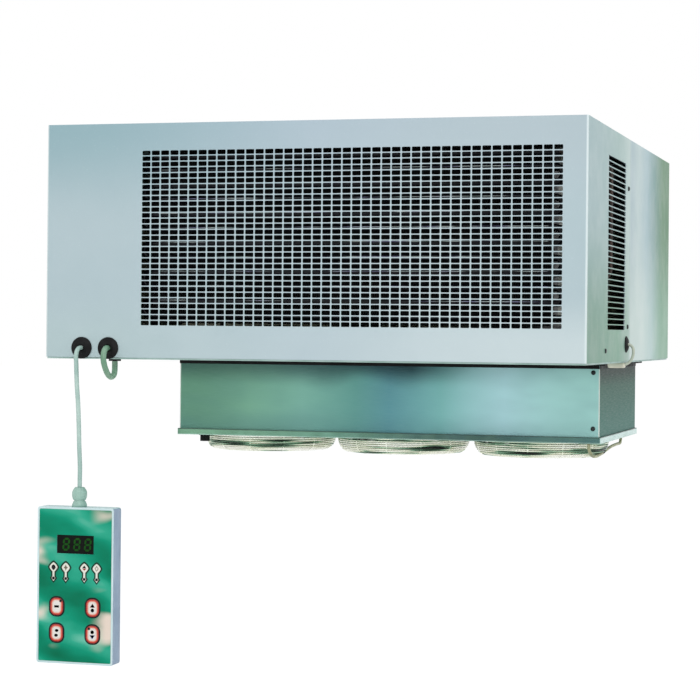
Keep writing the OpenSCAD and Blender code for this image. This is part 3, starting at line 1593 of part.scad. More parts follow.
module keypad_cord() {
  color(cord_white) cord(route(keypad_cord_start, keypad_cord_way), keypad_cord_d, [1, 0, 0]);
}
module supply_cable() {
  color(cord_white) cord(route(supply_start, supply_way), supply_cord_d, [1, 0, 0]);
}
module side_lead() {
  color(cord_white) cord(route(side_lead_start, side_lead_way), side_lead_d, [0, 1, 0]);
}
module probe_lead() {
  color(cord_white) cord(route(probe_start, probe_way), probe_lead_d, [1, 0, 0]);
}

base_pan();
front_cover();
grille_screen();
rear_cover();
lid();
cover_screws();
cable_grommets();
lead_bushings();
condenser_fins();
condenser_tubes();
condenser_end_plates();
fan_shroud();
condenser_motors();
condenser_motor_brackets();
condenser_fan_left();
condenser_fan_right();
compressor();
compressor_feet();
compressor_terminal_cover();
liquid_receiver();
filter_drier();
discharge_pipe();
liquid_pipes();
suction_pipe();
expansion_valve();
electrical_box();
electrical_box_lid();
contactor();
terminal_block();
ceiling_seal();
evaporator_front_panel();
evaporator_rear_panel();
box_screws();
insulated_cell();
evaporator_fins();
evaporator_tubes();
evaporator_end_plates();
defrost_heater();
drip_tray();
drain_spout();
evaporator_motors();
evaporator_motor_brackets();
evaporator_fan_left();
evaporator_fan_middle();
evaporator_fan_right();
fan_guards();
keypad_back_shell();
keypad_front_shell();
keypad_overlay();
keypad_display();
keypad_board();
key_upper_left();
key_upper_right();
key_lower_left();
key_lower_right();
keypad_gland();
keypad_cord();
supply_cable();
side_lead();
probe_lead();
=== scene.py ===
import math

import bmesh
import bpy
from mathutils import Matrix, Vector


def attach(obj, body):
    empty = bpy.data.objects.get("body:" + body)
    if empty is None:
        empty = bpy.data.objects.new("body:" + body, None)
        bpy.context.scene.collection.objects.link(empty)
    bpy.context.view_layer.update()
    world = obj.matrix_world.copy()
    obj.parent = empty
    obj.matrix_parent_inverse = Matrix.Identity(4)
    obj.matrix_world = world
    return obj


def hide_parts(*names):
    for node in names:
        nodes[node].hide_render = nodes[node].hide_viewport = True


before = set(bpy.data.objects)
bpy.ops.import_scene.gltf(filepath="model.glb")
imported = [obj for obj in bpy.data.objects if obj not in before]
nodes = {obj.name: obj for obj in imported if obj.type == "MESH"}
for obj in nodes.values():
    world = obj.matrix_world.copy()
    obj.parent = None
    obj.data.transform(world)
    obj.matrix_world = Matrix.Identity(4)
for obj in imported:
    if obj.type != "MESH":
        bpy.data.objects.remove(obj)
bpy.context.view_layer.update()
scene = bpy.context.scene

MM = 0.001

# Sizes shared with the CAD part, in millimetres
HOUSING_W, FRONT_Y = 810, -591
COVER_T, BEND_R = 1.5, 3.0
COVER_Z, LID_Z = 8.5, 349.5
SEAM_Y = -223
HOLE_W, HOLE_H, PITCH_X, PITCH_Z = 12.8, 6.8, 14.55, 8.27
COLUMNS, ROWS = 43, 31
GRILLE_X, GRILLE_Z = -254, 56
SLOT_Y, SLOT_L = -420, 158
BOX_W, BOX_D = 707, 368
FAN_PITCH, GUARD_Y, GUARD_R, GUARD_DISC_R, TRAY_Z = 235, -56, 110, 27, -123.5
KEYPAD_X, KEYPAD_Y, KEYPAD_Z = -339, -624.5, -210
KEY_W, KEY_H, KEY_R = 22.0, 27.0, 9.5
GLAND_Y = -611


def linked(name, data):
    """A new object, linked into the scene."""
    obj = bpy.data.objects.new(name, data)
    scene.collection.objects.link(obj)
    return obj


# ---------------------------------------------------------------- camera

# The photo's camera, fitted to the edges of the housing, box, guards and keypad
CAMERA_PLACE = (0.897, -3.342, 0.048)
CAMERA_TURNS = (-15.24, 0.12, 0.54)
CAMERA_SHIFT = (-0.08, -0.03)
PHOTO_PIXELS, FOCAL_PIXELS, SENSOR_MM = 700, 2025, 36


def aim_camera():
    yaw, pitch, roll = (math.radians(a) for a in CAMERA_TURNS)
    ahead = Vector((math.sin(yaw) * math.cos(pitch), math.cos(yaw) * math.cos(pitch), math.sin(pitch)))
    level = Vector((math.cos(yaw), -math.sin(yaw), 0))
    upright = level.cross(ahead)
    right = math.cos(roll) * level + math.sin(roll) * upright
    up = -math.sin(roll) * level + math.cos(roll) * upright
    data = bpy.data.cameras.new("camera")
    data.sensor_width = SENSOR_MM
    data.lens = FOCAL_PIXELS / PHOTO_PIXELS * SENSOR_MM
    data.shift_x, data.shift_y = CAMERA_SHIFT
    data.clip_end = 60
    cam = linked("camera", data)
    m = Matrix((right, up, -ahead)).transposed().to_4x4()
    m.translation = Vector(CAMERA_PLACE)
    cam.matrix_world = m
    scene.camera = cam


aim_camera()


# ---------------------------------------------------------------- shader helpers

def srgb(r, g, b):
    """A colour given in 0 to 255 screen values, as linear RGBA."""
    def lin(c):
        c /= 255
        return c / 12.92 if c <= 0.04045 else ((c + 0.055) / 1.055) ** 2.4
    return (lin(r), lin(g), lin(b), 1)


MATS = {}


class Shader:
    """A small wrapper that builds one material's node tree and keeps the material in MATS."""

    def __init__(self, name, rough=0.5, metal=0.0, **sockets):
        MATS[name] = mat = bpy.data.materials.new(name)
        mat.use_nodes = True
        self.nt = mat.node_tree
        self.bsdf = next(n for n in self.nt.nodes if n.type == "BSDF_PRINCIPLED")
        self.bsdf.inputs["Roughness"].default_value = rough
        self.bsdf.inputs["Metallic"].default_value = metal
        for key, value in sockets.items():
            self.bsdf.inputs[key.replace("_", " ")].default_value = value
        self.coord = self.node("ShaderNodeTexCoord").outputs["Object"]

    def node(self, kind, **props):
        n = self.nt.nodes.new(kind)
        for key, value in props.items():
            setattr(n, key, value)
        return n

    def link(self, a, b):
        self.nt.links.new(a, b)

    def put(self, socket, value):
        """Link a socket to another, or set it to a number or a colour in screen values."""
        if isinstance(value, bpy.types.NodeSocket):
            self.link(value, socket)
        else:
            socket.default_value = srgb(*value) if isinstance(value, tuple) else value

    def stretched(self, scale):
        """Object coordinates, scaled along each axis where a scale is given."""
        if not scale:
            return self.coord
        n = self.node("ShaderNodeMapping")
        self.link(self.coord, n.inputs["Vector"])
        n.inputs["Scale"].default_value = scale
        return n.outputs["Vector"]

    def noise(self, scale, detail=3, rough=0.5, stretch=None):
        n = self.node("ShaderNodeTexNoise")
        self.link(self.stretched(stretch), n.inputs["Vector"])
        n.inputs["Scale"].default_value = scale
        n.inputs["Detail"].default_value = detail
        n.inputs["Roughness"].default_value = rough
        return n.outputs["Fac"]

    def cells(self, scale):
        """A random colour in each of many small cells."""
        n = self.node("ShaderNodeTexVoronoi")
        self.link(self.coord, n.inputs["Vector"])
        n.inputs["Scale"].default_value = scale
        return n.outputs["Color"]

    def place(self, index):
        """One coordinate in object space, in metres."""
        sep = self.node("ShaderNodeSeparateXYZ")
        self.link(self.coord, sep.inputs[0])
        return sep.outputs[index]

    def axis(self, index, low, high):
        """0 to 1 along one object axis, from low to high in metres."""
        return self.remap(self.place(index), low, high)

    def turn(self, index):
        """One component of the surface's direction in object space."""
        sep = self.node("ShaderNodeSeparateXYZ")
        self.link(self.node("ShaderNodeTexCoord").outputs["Normal"], sep.inputs[0])
        return sep.outputs[index]

    def facing(self, index, low=0.3, high=0.7):
        """0 to 1 as the surface turns to one object axis."""
        return self.remap(self.math("ABSOLUTE", self.turn(index)), low, high)

    def fold(self):
        """1 on an upright bend between a front and a side, else 0."""
        return self.times(self.facing(0, 0.12, 0.3), self.facing(1, 0.12, 0.3))

    def window(self, value, low, high, soft):
        """1 between low and high, with soft ends."""
        rise = self.remap(value, low - soft, low + soft)
        return self.minus(rise, self.remap(value, high - soft, high + soft))

    def remap(self, value, low, high, to_low=0.0, to_high=1.0):
        n = self.node("ShaderNodeMapRange", interpolation_type="SMOOTHSTEP")
        self.link(value, n.inputs["Value"])
        n.inputs["From Min"].default_value = low
        n.inputs["From Max"].default_value = high
        n.inputs["To Min"].default_value = to_low
        n.inputs["To Max"].default_value = to_high
        return n.outputs["Result"]

    def math(self, op, a, b=None):
        n = self.node("ShaderNodeMath", operation=op)
        for i, v in enumerate((a, b)):
            if v is not None:
                self.put(n.inputs[i], v)
        return n.outputs[0]

    def plus(self, a, b):
        return self.math("ADD", a, b)

    def minus(self, a, b):
        return self.math("SUBTRACT", a, b)

    def times(self, a, b):
        return self.math("MULTIPLY", a, b)

    def mix(self, fac, a, b):
        n = self.node("ShaderNodeMix", data_type="RGBA")
        self.put(n.inputs[0], fac)
        self.put(n.inputs[6], a)
        self.put(n.inputs[7], b)
        return n.outputs[2]

    def mottled(self, value, low, high, dark, pale):
        """From a dark to a pale colour, both in screen values, as value goes from low to high."""
        return self.mix(self.remap(value, low, high), dark, pale)

    def ramp(self, fac, *stops):
        """Colours along fac: each stop is its place with screen values, or with one linear RGBA colour."""
        n = self.node("ShaderNodeValToRGB")
        els = n.color_ramp.elements
        while len(els) < len(stops):
            els.new(0.5)
        for el, (at, *colour) in zip(els, stops):
            el.position = at
            el.color = srgb(*colour) if len(colour) == 3 else colour[0]
        self.link(fac, n.inputs[0])
        return n.outputs["Color"]

    def color(self, value):
        self.put(self.bsdf.inputs["Base Color"], value)

    def rough(self, value):
        self.put(self.bsdf.inputs["Roughness"], value)

    def patchy(self, low, high, *noise, **more):
        """Roughness between low and high, in soft patches."""
        self.rough(self.remap(self.noise(*noise, **more), 0.3, 0.7, low, high))

    def bump(self, height, distance, strength):
        n = self.node("ShaderNodeBump")
        n.inputs["Distance"].default_value = distance
        n.inputs["Strength"].default_value = strength
        self.link(height, n.inputs["Height"])
        self.link(n.outputs["Normal"], self.bsdf.inputs["Normal"])


def painted_sheet():
    s = Shader("painted_sheet", rough=0.45, Coat_Weight=0.1, Coat_Roughness=0.3)
    # Painted light and shade across the front: darker and bluer at the upper left, lighter towards the lower
    # right.
    across = s.axis(0, -0.405, 0.405)
    high = s.ramp(across, (0, 142, 174, 182), (0.5, 172, 190, 201), (1, 176, 192, 199))
    level = s.ramp(
        across, (0, 174, 193, 199), (0.5, 179, 197, 204), (0.85, 186, 202, 207),
        (1, 176, 195, 201))
    low = s.ramp(across, (0, 175, 195, 198), (0.5, 182, 199, 206), (1, 200, 214, 217))
    front = s.mix(s.axis(2, 0.20, 0.35), level, high)
    front = s.mix(s.axis(2, 0.11, 0.03), front, low)
    # Painted light along the sides: a tone step at the seam, a painted green reflection towards the rear
    # edge, and painted shade low down near the front.
    along = s.axis(1, -0.60, 0.22)
    side = s.ramp(
        along, (0, 158, 184, 187), (0.25, 160, 188, 185), (0.43, 190, 210, 207),
        (0.47, 172, 194, 200), (0.60, 190, 210, 211), (0.76, 166, 194, 201),
        (0.88, 118, 157, 154), (0.97, 82, 132, 96))
    foot = s.ramp(
        along, (0, 104, 147, 128), (0.25, 114, 160, 137), (0.43, 158, 187, 175),
        (0.47, 198, 216, 212), (0.70, 206, 224, 220), (0.85, 180, 208, 206),
        (0.97, 128, 174, 148))
    side = s.mix(s.axis(2, 0.24, 0.04), side, foot)
    base = s.mix(s.facing(0), front, side)
    # Painted highlight along the upright bends at the front corners.
    base = s.mix(s.times(s.fold(), 0.85), base, (226, 237, 238))
    mottle = s.noise(7, 4, 0.6)
    cloud = s.times(s.remap(mottle, 0.3, 0.75, 0.0, 0.12), s.facing(1))
    base = s.mix(cloud, base, (150, 176, 182))
    speck = s.noise(420, 2, 0.6)
    base = s.mix(s.remap(speck, 0.62, 0.8, 0.0, 0.18), base, (222, 232, 234))
    s.color(base)
    s.patchy(0.40, 0.54, 26, 4)
    s.bump(s.noise(650, 2, 0.55), 0.00012, 0.5)


def bare_sheet():
    s = Shader("bare_sheet", rough=0.45, metal=0.22, Specular_IOR_Level=0.15)
    # Painted reflection: bands of green, blue-teal and pale colour across the box's width.
    across = s.axis(0, -0.3535, 0.3535)
    base = s.ramp(
        across, (0.0, 108, 160, 134), (0.08, 136, 192, 164), (0.22, 144, 202, 184),
        (0.40, 112, 174, 166), (0.52, 106, 166, 176), (0.70, 138, 200, 198),
        (0.88, 196, 238, 244), (1.0, 182, 232, 226))
    cloud = s.noise(5, 3, 0.5, stretch=(1, 1, 2.4))
    base = s.mix(s.remap(cloud, 0.35, 0.7, 0.0, 0.28), base, (84, 130, 142))
    # Painted shadow under the housing: a dark band down from the top of the box, strongest just right of the
    # middle and faint at the right end, with a ragged lower edge.
    painted_shade = s.ramp(
        across, (0, (0.55, 0.55, 0.55, 1)), (0.35, (0.8, 0.8, 0.8, 1)),
        (0.6, (0.95, 0.95, 0.95, 1)), (0.8, (0.3, 0.3, 0.3, 1)), (1, (0.08, 0.08, 0.08, 1)))
    shadow_reach = s.plus(s.times(s.noise(6, 2, 0.5, stretch=(1, 1, 0.3)), 0.03), 0.004)
    under_housing_shadow = s.remap(s.math("DIVIDE", s.place(2), shadow_reach), -2.4, -0.2)
    base = s.mix(s.times(under_housing_shadow, painted_shade), base, (14, 44, 54))
    # Painted shade: darker towards the bottom of the box.
    low = s.times(s.axis(2, -0.075, -0.118), 0.30)
    base = s.mix(low, base, (72, 118, 124))
    shade = s.ramp(s.axis(2, -0.12, 0.0), (0, 58, 112, 102), (0.8, 48, 94, 80), (1, 20, 44, 38))
    base = s.mix(s.facing(0, 0.7, 0.9), base, shade)
    # Painted highlight along the upright bends at the box's corners.
    base = s.mix(s.times(s.fold(), 0.9), base, (232, 242, 232))
    grain = s.noise(9, 5, 0.7, stretch=(6, 6, 140))
    brushed = s.times(s.remap(grain, 0.35, 0.7, 0.0, 0.07), s.facing(1))
    base = s.mix(brushed, base, (176, 208, 204))
    s.color(base)
    s.patchy(0.42, 0.56, 14, 4, 0.6, stretch=(3, 3, 60))
    s.bump(grain, 0.00002, 0.15)


def tray_sheet():
    """The drip tray's turned-up lip, with painted light and shade: darker towards the right, a painted
    highlight on its ends, a painted dark line where it meets the box and a painted bright lower edge.
    """
    s = Shader("tray_sheet", rough=0.34, metal=0.35)
    base = s.ramp(
        s.axis(0, -0.357, 0.357), (0, 104, 152, 124), (0.3, 100, 148, 128),
        (0.6, 62, 100, 92), (0.85, 44, 80, 78), (1.0, 70, 112, 110))
    base = s.mix(s.facing(0, 0.6, 0.85), base, (206, 232, 228))
    base = s.mix(s.times(s.remap(s.place(2), -0.1152, -0.1142), 0.8), base, (24, 48, 46))
    base = s.mix(s.times(s.remap(s.place(2), -0.1215, -0.1230), 0.6), base, (176, 206, 196))
    base = s.mix(s.remap(s.noise(40, 4, 0.6, stretch=(1, 1, 4)), 0.4, 0.7, 0.0, 0.2), base, (92, 128, 96))
    s.color(base)
    s.patchy(0.28, 0.42, 30, 3)
    s.bump(s.noise(300, 3), 0.00005, 0.3)


def coil_tube():
    """Near-black tube, dark as painted shade inside the housing, with one narrow painted glint along its
    upper front.
    """
    s = Shader("coil_tube", rough=0.3, metal=0.1, Specular_IOR_Level=0.15)
    base = s.mottled(s.noise(30, 3), 0.3, 0.7, (5, 5, 9), (14, 15, 24))
    tint = s.ramp(
        s.noise(14, 2, 0.5, stretch=(1, 1, 6)), (0.3, 120, 150, 142), (0.5, 214, 224, 222),
        (0.62, 150, 148, 190), (0.75, 236, 246, 240))
    # Painted glint: a narrow band where the tube turns upward, broken into dashes and kept off the return
    # bends.
    glint = s.window(s.turn(2), 0.28, 0.46, 0.04)
    broken = s.remap(s.noise(9, 3, 0.6, stretch=(1, 1, 9)), 0.46, 0.60, 0.06, 1.0)
    inside = s.window(s.place(0), -0.236, 0.345, 0.002)
    base = s.mix(s.times(inside, s.times(glint, broken)), base, tint)
    s.color(base)
    s.patchy(0.18, 0.3, 60, 3)
    s.bump(s.noise(500, 2), 0.00005, 0.3)


def wire_chrome():
    """Bright wire with painted reflections: hard light and dark strips as on polished steel, a little darker
    to the right.
    """
    s = Shader("wire", rough=0.2, metal=0.55)
    strips = s.noise(14, 2, 0.5, stretch=(0.7, 0.7, 20))
    along = s.times(s.noise(7, 1, 0.5, stretch=(1.2, 1, 1)), 0.5)
    right = s.times(s.axis(0, 0.08, 0.30), -0.08)
    tone = s.plus(s.plus(strips, along), right)
    base = s.ramp(
        tone, (0.50, 10, 14, 12), (0.58, 60, 90, 68), (0.64, 134, 176, 146),
        (0.70, 234, 236, 212), (0.84, 250, 250, 240))
    s.color(base)
    s.patchy(0.14, 0.28, 120, 3)
    s.bump(s.noise(900, 2), 0.00003, 0.2)


def bushing():
    """Black rubber, with the cream plastic of the clip under the right side."""
    s = Shader("bushing", rough=0.5, Specular_IOR_Level=0.2)
    dark = s.mottled(s.noise(60, 4), 0.35, 0.7, (14, 15, 16), (30, 31, 32))
    pale = s.mottled(s.noise(90, 4), 0.35, 0.7, (214, 212, 190), (232, 230, 212))
    place = s.times(s.axis(0, 0.368, 0.370), s.axis(2, 0.012, 0.010))
    s.color(s.mix(place, dark, pale))
    s.patchy(0.44, 0.62, 40, 3)
    s.bump(s.noise(900, 2), 0.0001, 0.4)


def galvanised():
    s = Shader("galvanised", rough=0.45, metal=0.7)
    tone = s.node("ShaderNodeSeparateColor")
    s.link(s.cells(85), tone.inputs[0])
    base = s.ramp(tone.outputs[0], (0, 118, 124, 112), (0.5, 146, 150, 138), (1, 178, 182, 170))
    base = s.mix(s.remap(s.noise(12, 4), 0.4, 0.75, 0.0, 0.35), base, (108, 112, 92))
    s.color(base)
    s.rough(s.remap(tone.outputs[1], 0, 1, 0.36, 0.56))
    s.bump(s.noise(300, 3), 0.0001, 0.4)


def rubber(name, tone=(10, 11, 12)):
    s = Shader(name, rough=0.6, Specular_IOR_Level=0.15)
    s.color(s.mottled(s.noise(60, 4), 0.35, 0.7, tone, tuple(c + 14 for c in tone)))
    s.patchy(0.46, 0.66, 40, 3)
    s.bump(s.noise(900, 2), 0.00012, 0.5)


def metal(name, low, high, rough=(0.2, 0.4), scale=30, metallic=1.0, stretch=None):
    s = Shader(name, metal=metallic)
    s.color(s.mottled(s.noise(scale, 4, 0.6, stretch=stretch), 0.3, 0.72, low, high))
    s.patchy(rough[0], rough[1], scale * 1.7, 3)
    s.bump(s.noise(700, 2), 0.00005, 0.3)


def plastic(name, low, high, rough=(0.38, 0.52), grain=1400, depth=0.00008, sheen=0.0, gleam=0.5):
    s = Shader(name, Coat_Weight=sheen, Coat_Roughness=0.2, Specular_IOR_Level=gleam)
    s.color(s.mottled(s.noise(24, 4), 0.3, 0.72, low, high))
    s.patchy(rough[0], rough[1], 80, 3)
    s.bump(s.noise(grain, 2), depth, 0.5)


def foil():
    """Broad soft clouds of green with cream glints towards the edges, sealed under a clear film."""
    s = Shader("overlay_foil", rough=0.5, Specular_IOR_Level=0.08)
    u = s.minus(s.place(0), KEYPAD_X * MM)
    v = s.minus(s.place(2), KEYPAD_Z * MM)
    slant = s.plus(s.times(u, 0.55), v)
    line = s.plus(slant, s.times(s.noise(9, 2, 0.5), 0.07))
    wave = s.plus(s.times(s.math("SINE", s.times(line, 74.0)), 0.5), 0.5)
    soft = s.noise(15, 2, 0.5, stretch=(0.8, 1.0, 2.0))
    tone = s.plus(s.times(wave, 0.42), s.times(soft, 0.62))
    base = s.ramp(
        tone, (0.22, 2, 104, 72), (0.38, 4, 130, 98), (0.55, 14, 150, 118),
        (0.70, 52, 172, 142), (0.86, 122, 202, 178))
    glint = s.remap(s.noise(17, 1, 0.4, stretch=(0.8, 1, 1.9)), 0.54, 0.70)
    edge = s.remap(s.math("ABSOLUTE", u), 0.020, 0.052)
    base = s.mix(s.times(s.times(glint, edge), 0.95), base, (241, 222, 208))
    s.color(base)
    s.patchy(0.42, 0.54, 90, 3)
    s.bump(s.noise(260, 3), 0.00003, 0.3)


def key_face(name, cx, cz):
    """White key top inside a red ring with a dark outline, drawn by distance from the key's edge."""
    s = Shader(name, rough=0.4, Specular_IOR_Level=0.3, Coat_Weight=0.1, Coat_Roughness=0.15)
    qx = s.minus(s.math("ABSOLUTE", s.minus(s.place(0), cx * MM)), (KEY_W / 2 - KEY_R) * MM)
    qz = s.minus(s.math("ABSOLUTE", s.minus(s.place(2), cz * MM)), (KEY_H / 2 - KEY_R) * MM)
    px, pz = s.math("MAXIMUM", qx, 0.0), s.math("MAXIMUM", qz, 0.0)
    out = s.math("SQRT", s.plus(s.times(px, px), s.times(pz, pz)))
    inner = s.math("MINIMUM", s.math("MAXIMUM", qx, qz), 0.0)
    depth = s.minus(KEY_R * MM, s.plus(out, inner))
    depth = s.plus(depth, s.times(s.minus(s.noise(180, 2), 0.5), 0.0006))
    fac = s.math("DIVIDE", depth, 0.007)
    base = s.ramp(
        fac, (0.0, 14, 8, 8), (0.10, 30, 12, 10), (0.20, 178, 26, 12),
        (0.38, 204, 58, 34), (0.56, 226, 150, 128), (0.72, 228, 214, 204),
        (1.0, 230, 228, 222))
    s.color(base)
    s.patchy(0.25, 0.36, 120, 3)
    s.bump(s.noise(600, 2), 0.00003, 0.3)


def cord_jacket(name, low, high):
    s = Shader(name, rough=0.42)
    s.color(s.mottled(s.noise(38, 4), 0.3, 0.72, low, high))
    s.patchy(0.36, 0.5, 70, 3)
    s.bump(s.noise(1200, 2), 0.00006, 0.4)


def case_plastic():
    """Pale blue-white keypad case, its sides darker and bluer as painted shade."""
    s = Shader("white_plastic", rough=0.45, Specular_IOR_Level=0.3)
    base = s.mottled(s.noise(24, 4), 0.3, 0.72, (198, 222, 224), (212, 234, 236))
    painted_shade = s.mottled(s.noise(18, 4), 0.3, 0.72, (146, 166, 190), (166, 184, 206))
    s.color(s.mix(s.facing(0, 0.5, 0.8), base, painted_shade))
    s.patchy(0.4, 0.54, 80, 3)
    s.bump(s.noise(1400, 2), 0.00008, 0.5)


painted_sheet()
bare_sheet()
tray_sheet()
galvanised()
plastic("pan_sheet", (150, 180, 172), (176, 202, 196), (0.4, 0.55), 500, 0.00005)
rubber("rubber")
bushing()
rubber("gasket", (4, 5, 6))
# Copper darkened to a near-black brown, as painted shade on the pipes inside the housing.
metal("copper", (34, 28, 26), (66, 50, 42), (0.3, 0.5), 26, metallic=0.5)
coil_tube()
metal("fins", (112, 118, 120), (150, 156, 156), (0.3, 0.5), 22)
# Near-black condenser fins: painted shade behind the grille.
metal("dark_fins", (5, 6, 9), (12, 13, 18), (0.5, 0.7), 40, metallic=0.1)
wire_chrome()
metal("black_metal", (18, 18, 20), (34, 34, 36), (0.34, 0.5), 20, metallic=0.0)
# Screw heads kept dark: partly painted shade round the heads.
metal("dark_zinc", (22, 27, 28), (44, 50, 50), (0.3, 0.5), 30, metallic=0.6)
metal("valve_brass", (176, 140, 72), (206, 172, 98), (0.22, 0.36), 30)
case_plastic()
plastic("gland_plastic", (128, 166, 154), (160, 194, 182))
foil()
plastic("display_glass", (1, 4, 2), (2, 9, 3), (0.5, 0.6), 300, 0.00001, gleam=0.1)
plastic("segment_glow", (10, 66, 8), (20, 86, 16), (0.5, 0.6), 600, 0.00001, gleam=0.1)
plastic("circuit_board", (8, 70, 42), (16, 92, 56), (0.3, 0.4), 500, 0.00005)
cord_jacket("cord_jacket", (158, 188, 180), (184, 208, 200))
cord_jacket("lead_jacket", (184, 192, 176), (210, 216, 202))
metal("panel_edge_highlight", (208, 224, 214), (236, 244, 238), (0.3, 0.4), 20, metallic=0.2)
plastic("clip_plastic", (212, 210, 190), (232, 230, 212))
cord_jacket("supply_jacket", (96, 140, 112), (140, 176, 150))
cord_jacket("probe_jacket", (134, 138, 100), (190, 190, 150))
plastic("foam", (206, 200, 176), (226, 220, 198), (0.7, 0.85), 220, 0.0004)

# The keypad's printed colours: dark and pale screen values and lowest roughness
INKS = {
    "black": ((6, 5, 6), (14, 12, 13), 0.5),
    "white": ((226, 224, 212), (238, 236, 226), 0.45),
    "green": ((2, 48, 32), (5, 62, 44), 0.5),
    "grey": ((104, 96, 80), (126, 118, 100), 0.45),
    "red": ((150, 16, 26), (176, 26, 34), 0.45),
    "blue": ((10, 34, 140), (22, 50, 162), 0.45),
}
for ink, (low, high, dull) in INKS.items():
    plastic("ink_" + ink, low, high, (dull, dull + 0.1), 800, 0.00001, gleam=0.2)


# ---------------------------------------------------------------- mesh helpers

def new_object(name, verts, faces, mat, smooth=()):
    """An object from points in millimetres, with its smooth faces by number."""
    mesh = bpy.data.meshes.new(name)
    mesh.from_pydata([tuple(c * MM for c in v) for v in verts], [], faces)
    mesh.validate()
    mesh.materials.append(MATS[mat])
    for i in smooth:
        mesh.polygons[i].use_smooth = True
    obj = linked(name, mesh)
    return obj


def band(k, rows):
    """Faces that join rows of k points each into one closed band."""
    return [(s * k + i, s * k + (i + 1) % k, (s + 1) * k + (i + 1) % k, (s + 1) * k + i)
            for s in range(rows - 1) for i in range(k)]


class Builder:
    """Gathers vertices and faces in millimetres."""

    def __init__(self):
        self.verts, self.faces, self.smooth = [], [], []

    def add(self, verts, faces, smooth=False):
        base = len(self.verts)
        self.verts += [tuple(v) for v in verts]
        for f in faces:
            if smooth:
                self.smooth.append(len(self.faces))
            self.faces.append(tuple(base + i for i in f))

    def box(self, a, b):
        (x0, y0, z0), (x1, y1, z1) = a, b
        v = [(x, y, z) for z in (z0, z1) for x, y in ((x0, y0), (x1, y0), (x1, y1), (x0, y1))]
        self.add(v, [(0, 3, 2, 1), (4, 5, 6, 7), (0, 1, 5, 4), (1, 2, 6, 5), (2, 3, 7, 6), (3, 0, 4, 7)])

    def object(self, name, mat):
        return new_object(name, self.verts, self.faces, mat, self.smooth)


def rounded_loop(cx, cy, w, h, r, n=4):
    """Corner arcs of a rounded rectangle, anticlockwise from the lower left, n steps each."""
    loop = []
    for k, (sx, sy) in enumerate(((-1, -1), (1, -1), (1, 1), (-1, 1))):
        ax, ay = cx + sx * (w / 2 - r), cy + sy * (h / 2 - r)
        for i in range(n + 1):
            a = math.pi * (1 + k / 2) + math.pi / 2 * i / n
            loop.append((ax + r * math.cos(a), ay + r * math.sin(a)))
    return loop


def punched_panel(b, place, u0, u1, v0, v1, t, field):
    """A flat sheet from (u0, v0) to (u1, v1), t thick, with a regular field of rounded holes.
    place(u, v, depth) gives the point, with depth measured inward from the outer face."""
    fu, fv, cols, rows, pu, pv, w, h, r, n = field
    gu, gv = (pu - w) / 2, (pv - h) / 2
    left, low = fu - gu, fv - gv
    right, high = left + cols * pu, low + rows * pv

    def both(points, front):
        k = len(points)
        verts = [place(u, v, 0) for u, v in points] + [place(u, v, t) for u, v in points]
        faces = list(front) + [tuple(k + i for i in reversed(f)) for f in front]
        return verts, faces

    margins = ((u0, left, v0, v1), (right, u1, v0, v1), (left, right, v0, low), (left, right, high, v1))
    for a, c, d, e in margins:
        verts, faces = both([(a, d), (c, d), (c, e), (a, e)], [(0, 1, 2, 3)])
        b.add(verts, faces)
    outer = [(u0, v0), (u1, v0), (u1, v1), (u0, v1)]
    for p, q in zip(outer, outer[1:] + outer[:1]):
        b.add([place(*p, 0), place(*p, t), place(*q, t), place(*q, 0)], [(0, 1, 2, 3)])
    m = n + 1
    for i in range(cols):
        for j in range(rows):
            a, c = left + i * pu, low + j * pv
            corners = [(a, c), (a + pu, c), (a + pu, c + pv), (a, c + pv)]
            loop = rounded_loop(a + pu / 2, c + pv / 2, w, h, r, n)
            front = []
            for k in range(4):
                start = 4 + k * m
                for s in range(n):
                    front.append((k, start + s + 1, start + s))
                nxt = (k + 1) % 4
                front.append((k, nxt, 4 + nxt * m, start + n))
            verts, faces = both(corners + loop, front)
            size = 4 + 4 * m
            for s in range(4 * m):
                s2 = (s + 1) % (4 * m)
                faces.append((4 + s, size + 4 + s, size + 4 + s2, 4 + s2))
            b.add(verts, faces)


def bend(b, cx, cy, r, t, a0, a1, z0, z1, n=6):
    """A quarter bend about an upright axis."""
    ring = []
    for i in range(n + 1):
        a = math.radians(a0 + (a1 - a0) * i / n)
        ring.append((math.cos(a), math.sin(a)))
    for radius, flip in ((r, False), (r - t, True)):
        verts = [(cx + radius * c, cy + radius * s, z) for c, s in ring for z in (z0, z1)]
        faces = [(2 * i, 2 * i + 2, 2 * i + 3, 2 * i + 1) for i in range(n)]
        b.add(verts, [tuple(reversed(f)) for f in faces] if flip else faces, smooth=True)
    for z, flip in ((z0, True), (z1, False)):
        verts = [(cx + q * c, cy + q * s, z) for c, s in ring for q in (r - t, r)]
        faces = [(2 * i, 2 * i + 1, 2 * i + 3, 2 * i + 2) for i in range(n)]
        b.add(verts, [tuple(reversed(f)) for f in faces] if flip else faces)


def plate(name, outline, y_front, thick, mat, body="housing"):
    """A thin flat shape on the keypad: outline in (across, down) millimetres from the top middle."""
    k = len(outline)
    verts = [(KEYPAD_X + u, y, KEYPAD_Z - d) for y in (y_front, y_front + thick) for u, d in outline]
    faces = [tuple(range(k)), tuple(range(2 * k - 1, k - 1, -1))]
    faces += [(i, k + i, k + (i + 1) % k, (i + 1) % k) for i in range(k)]
    obj = new_object(name, verts, faces, mat)
    fix_normals(obj)
    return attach(obj, body)


